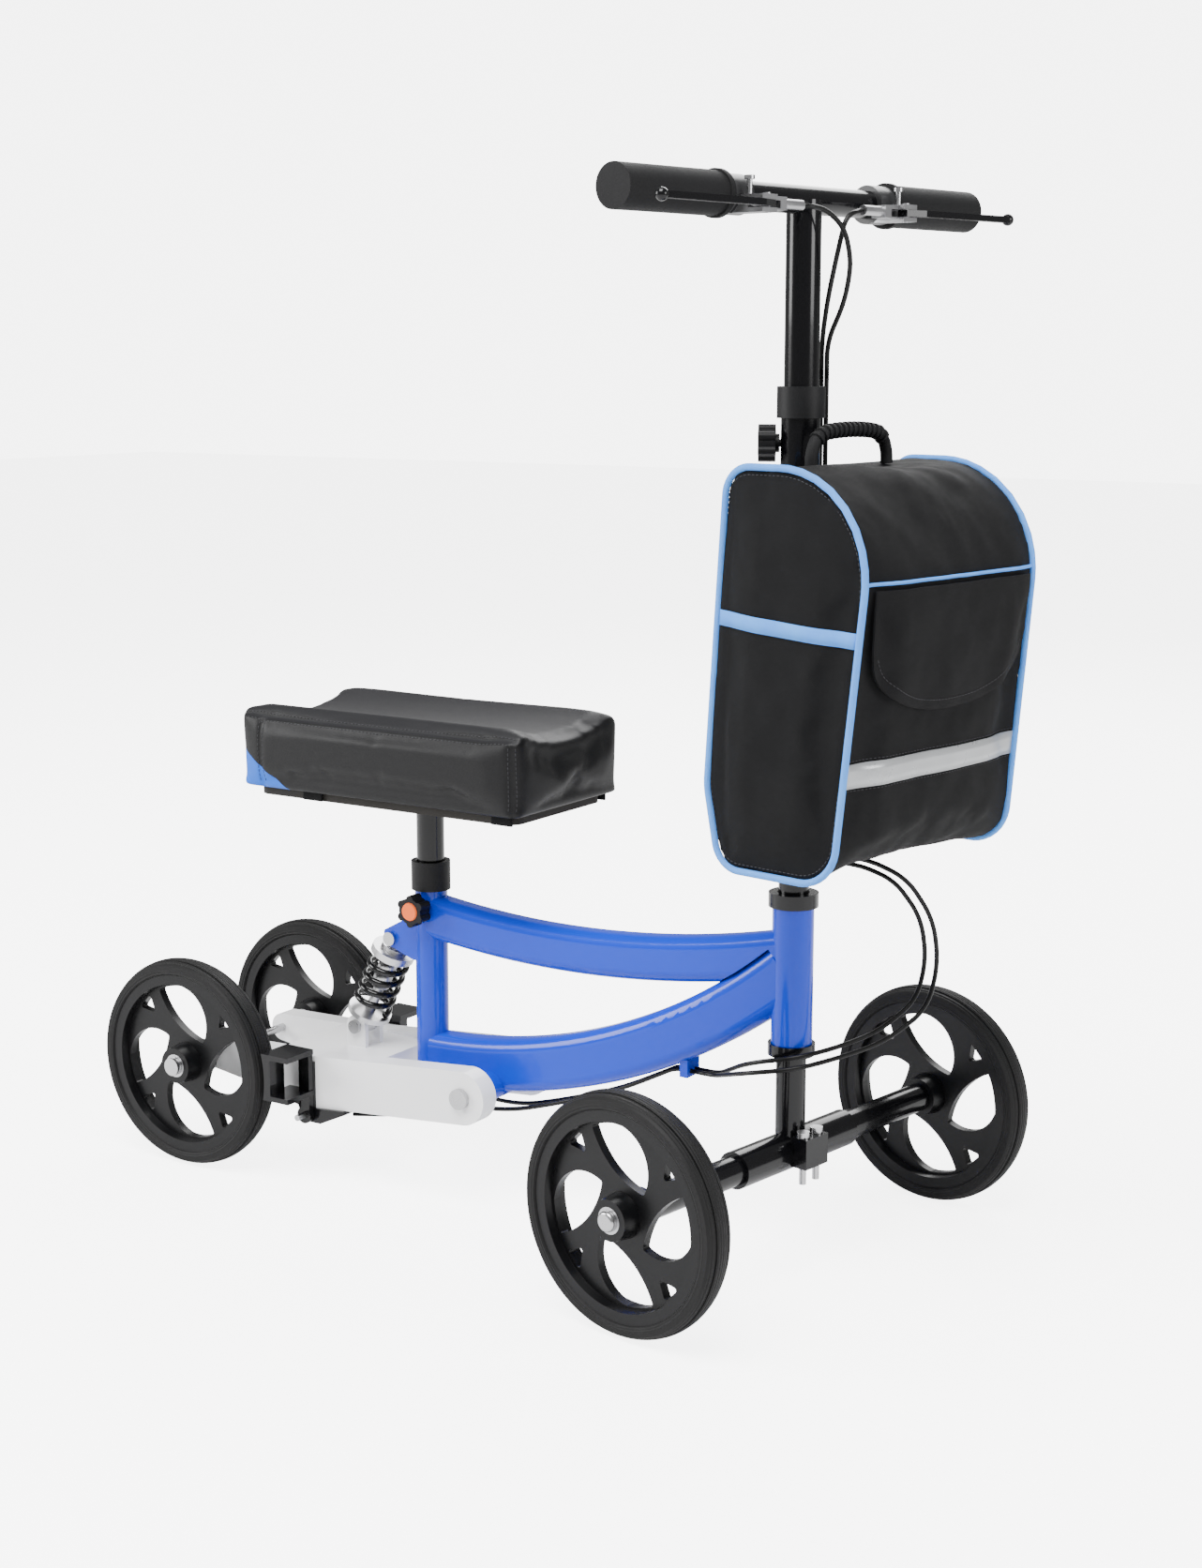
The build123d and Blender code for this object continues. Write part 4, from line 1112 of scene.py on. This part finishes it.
class SCOOTER_OT_stage(bpy.types.Operator):
    """The floor, the lights and the camera"""

    bl_idname = "scooter.stage"
    bl_label = "Studio"

    def execute(self, context):
        scene = context.scene
        half = 12.0
        floor = mesh_object(
            "floor", [(-half, -half, 0), (half, -half, 0), (half, half, 0), (-half, half, 0)], [(0, 1, 2, 3)],
            smooth=False,
        )
        ground = Finish("Floor", (0.93, 0.93, 0.93), 0.8, Specular_IOR_Level=0.1, Emission_Strength=1.0)
        seen = Field(ground.tree, ground.node("LightPath").outputs["Is Camera Ray"])
        ground.feed("Emission Color", seen * 5.0)
        floor.data.materials.append(ground.material)
        world = bpy.data.worlds.new("Studio")
        world.use_nodes = True
        sky = world.node_tree.nodes["Background"]
        sky.inputs["Color"].default_value = (1, 1, 1, 1)
        sky.inputs["Strength"].default_value = 0.32
        paper = world.node_tree.nodes.new("ShaderNodeBackground")
        paper.inputs["Color"].default_value = (1, 1, 1, 1)
        paper.inputs["Strength"].default_value = 6.0
        path = world.node_tree.nodes.new("ShaderNodeLightPath")
        mix = world.node_tree.nodes.new("ShaderNodeMixShader")
        join = world.node_tree.links.new
        join(path.outputs["Is Camera Ray"], mix.inputs[0])
        join(sky.outputs[0], mix.inputs[1])
        join(paper.outputs[0], mix.inputs[2])
        join(mix.outputs[0], world.node_tree.nodes["World Output"].inputs["Surface"])
        scene.world = world
        target = Vector((0, 0, 0.42))
        lamps = (
            ("key", (0.4, -1.6, 3.4), 2.2, 240),
            ("fill", (-2.8, -1.8, 1.6), 1.6, 120),
            ("back", (-0.6, 2.8, 2.6), 2.2, 110),
            ("edge", (3.0, 0.2, 1.4), 1.2, 50),
        )
        for name, place, size, power in lamps:
            light = bpy.data.lights.new(name, "AREA")
            light.size = size
            light.energy = power
            lamp = add_object(name, light)
            lamp.location = place
            lamp.rotation_mode = "QUATERNION"
            lamp.rotation_quaternion = (target - lamp.location).to_track_quat("-Z", "Y")
        lens = bpy.data.cameras.new("camera")
        lens.sensor_width = 36
        lens.lens = 53.63
        camera = add_object("camera", lens)
        camera.location = (1.1716, -1.6756, 0.7649)
        yaw = math.radians(123.2)
        pitch = math.radians(10.445)
        gaze = Vector((math.cos(yaw) * math.cos(pitch), math.sin(yaw) * math.cos(pitch), -math.sin(pitch)))
        camera.rotation_mode = "QUATERNION"
        camera.rotation_quaternion = gaze.to_track_quat("-Z", "Y")
        scene.camera = camera
        return {"FINISHED"}


class SCOOTER_PT_panel(bpy.types.Panel):
    """The sizes, the colours and the steps, in order"""

    bl_label = "Knee scooter"
    bl_idname = "SCOOTER_PT_panel"
    bl_space_type = "VIEW_3D"
    bl_region_type = "UI"
    bl_category = "Scooter"

    def draw(self, context):
        for group in (context.scene.scooter_paint, context.scene.scooter_soft):
            for name in group.__annotations__:
                self.layout.prop(group, name)
        for step in STEPS:
            self.layout.operator(step.bl_idname)


STEPS = (
    SCOOTER_OT_finishes,
    SCOOTER_OT_spring,
    SCOOTER_OT_knob_disc,
    SCOOTER_OT_cables,
    SCOOTER_OT_knee_pad,
    SCOOTER_OT_bag,
    SCOOTER_OT_stage,
)
GROUPS = (PaintSettings, SoftSettings)


def register():
    for item in (*GROUPS, *STEPS, SCOOTER_PT_panel):
        bpy.utils.register_class(item)
    bpy.types.Scene.scooter_paint = bpy.props.PointerProperty(type=PaintSettings)
    bpy.types.Scene.scooter_soft = bpy.props.PointerProperty(type=SoftSettings)


def unregister():
    del bpy.types.Scene.scooter_soft
    del bpy.types.Scene.scooter_paint
    for item in reversed((*GROUPS, *STEPS, SCOOTER_PT_panel)):
        bpy.utils.unregister_class(item)


def main():
    register()
    bpy.ops.scooter.finishes()
    bpy.ops.scooter.spring()
    bpy.ops.scooter.knob_disc()
    bpy.ops.scooter.cables()
    bpy.ops.scooter.knee_pad()
    bpy.ops.scooter.bag()
    bpy.ops.scooter.stage()


if __name__ == "__main__":
    main()
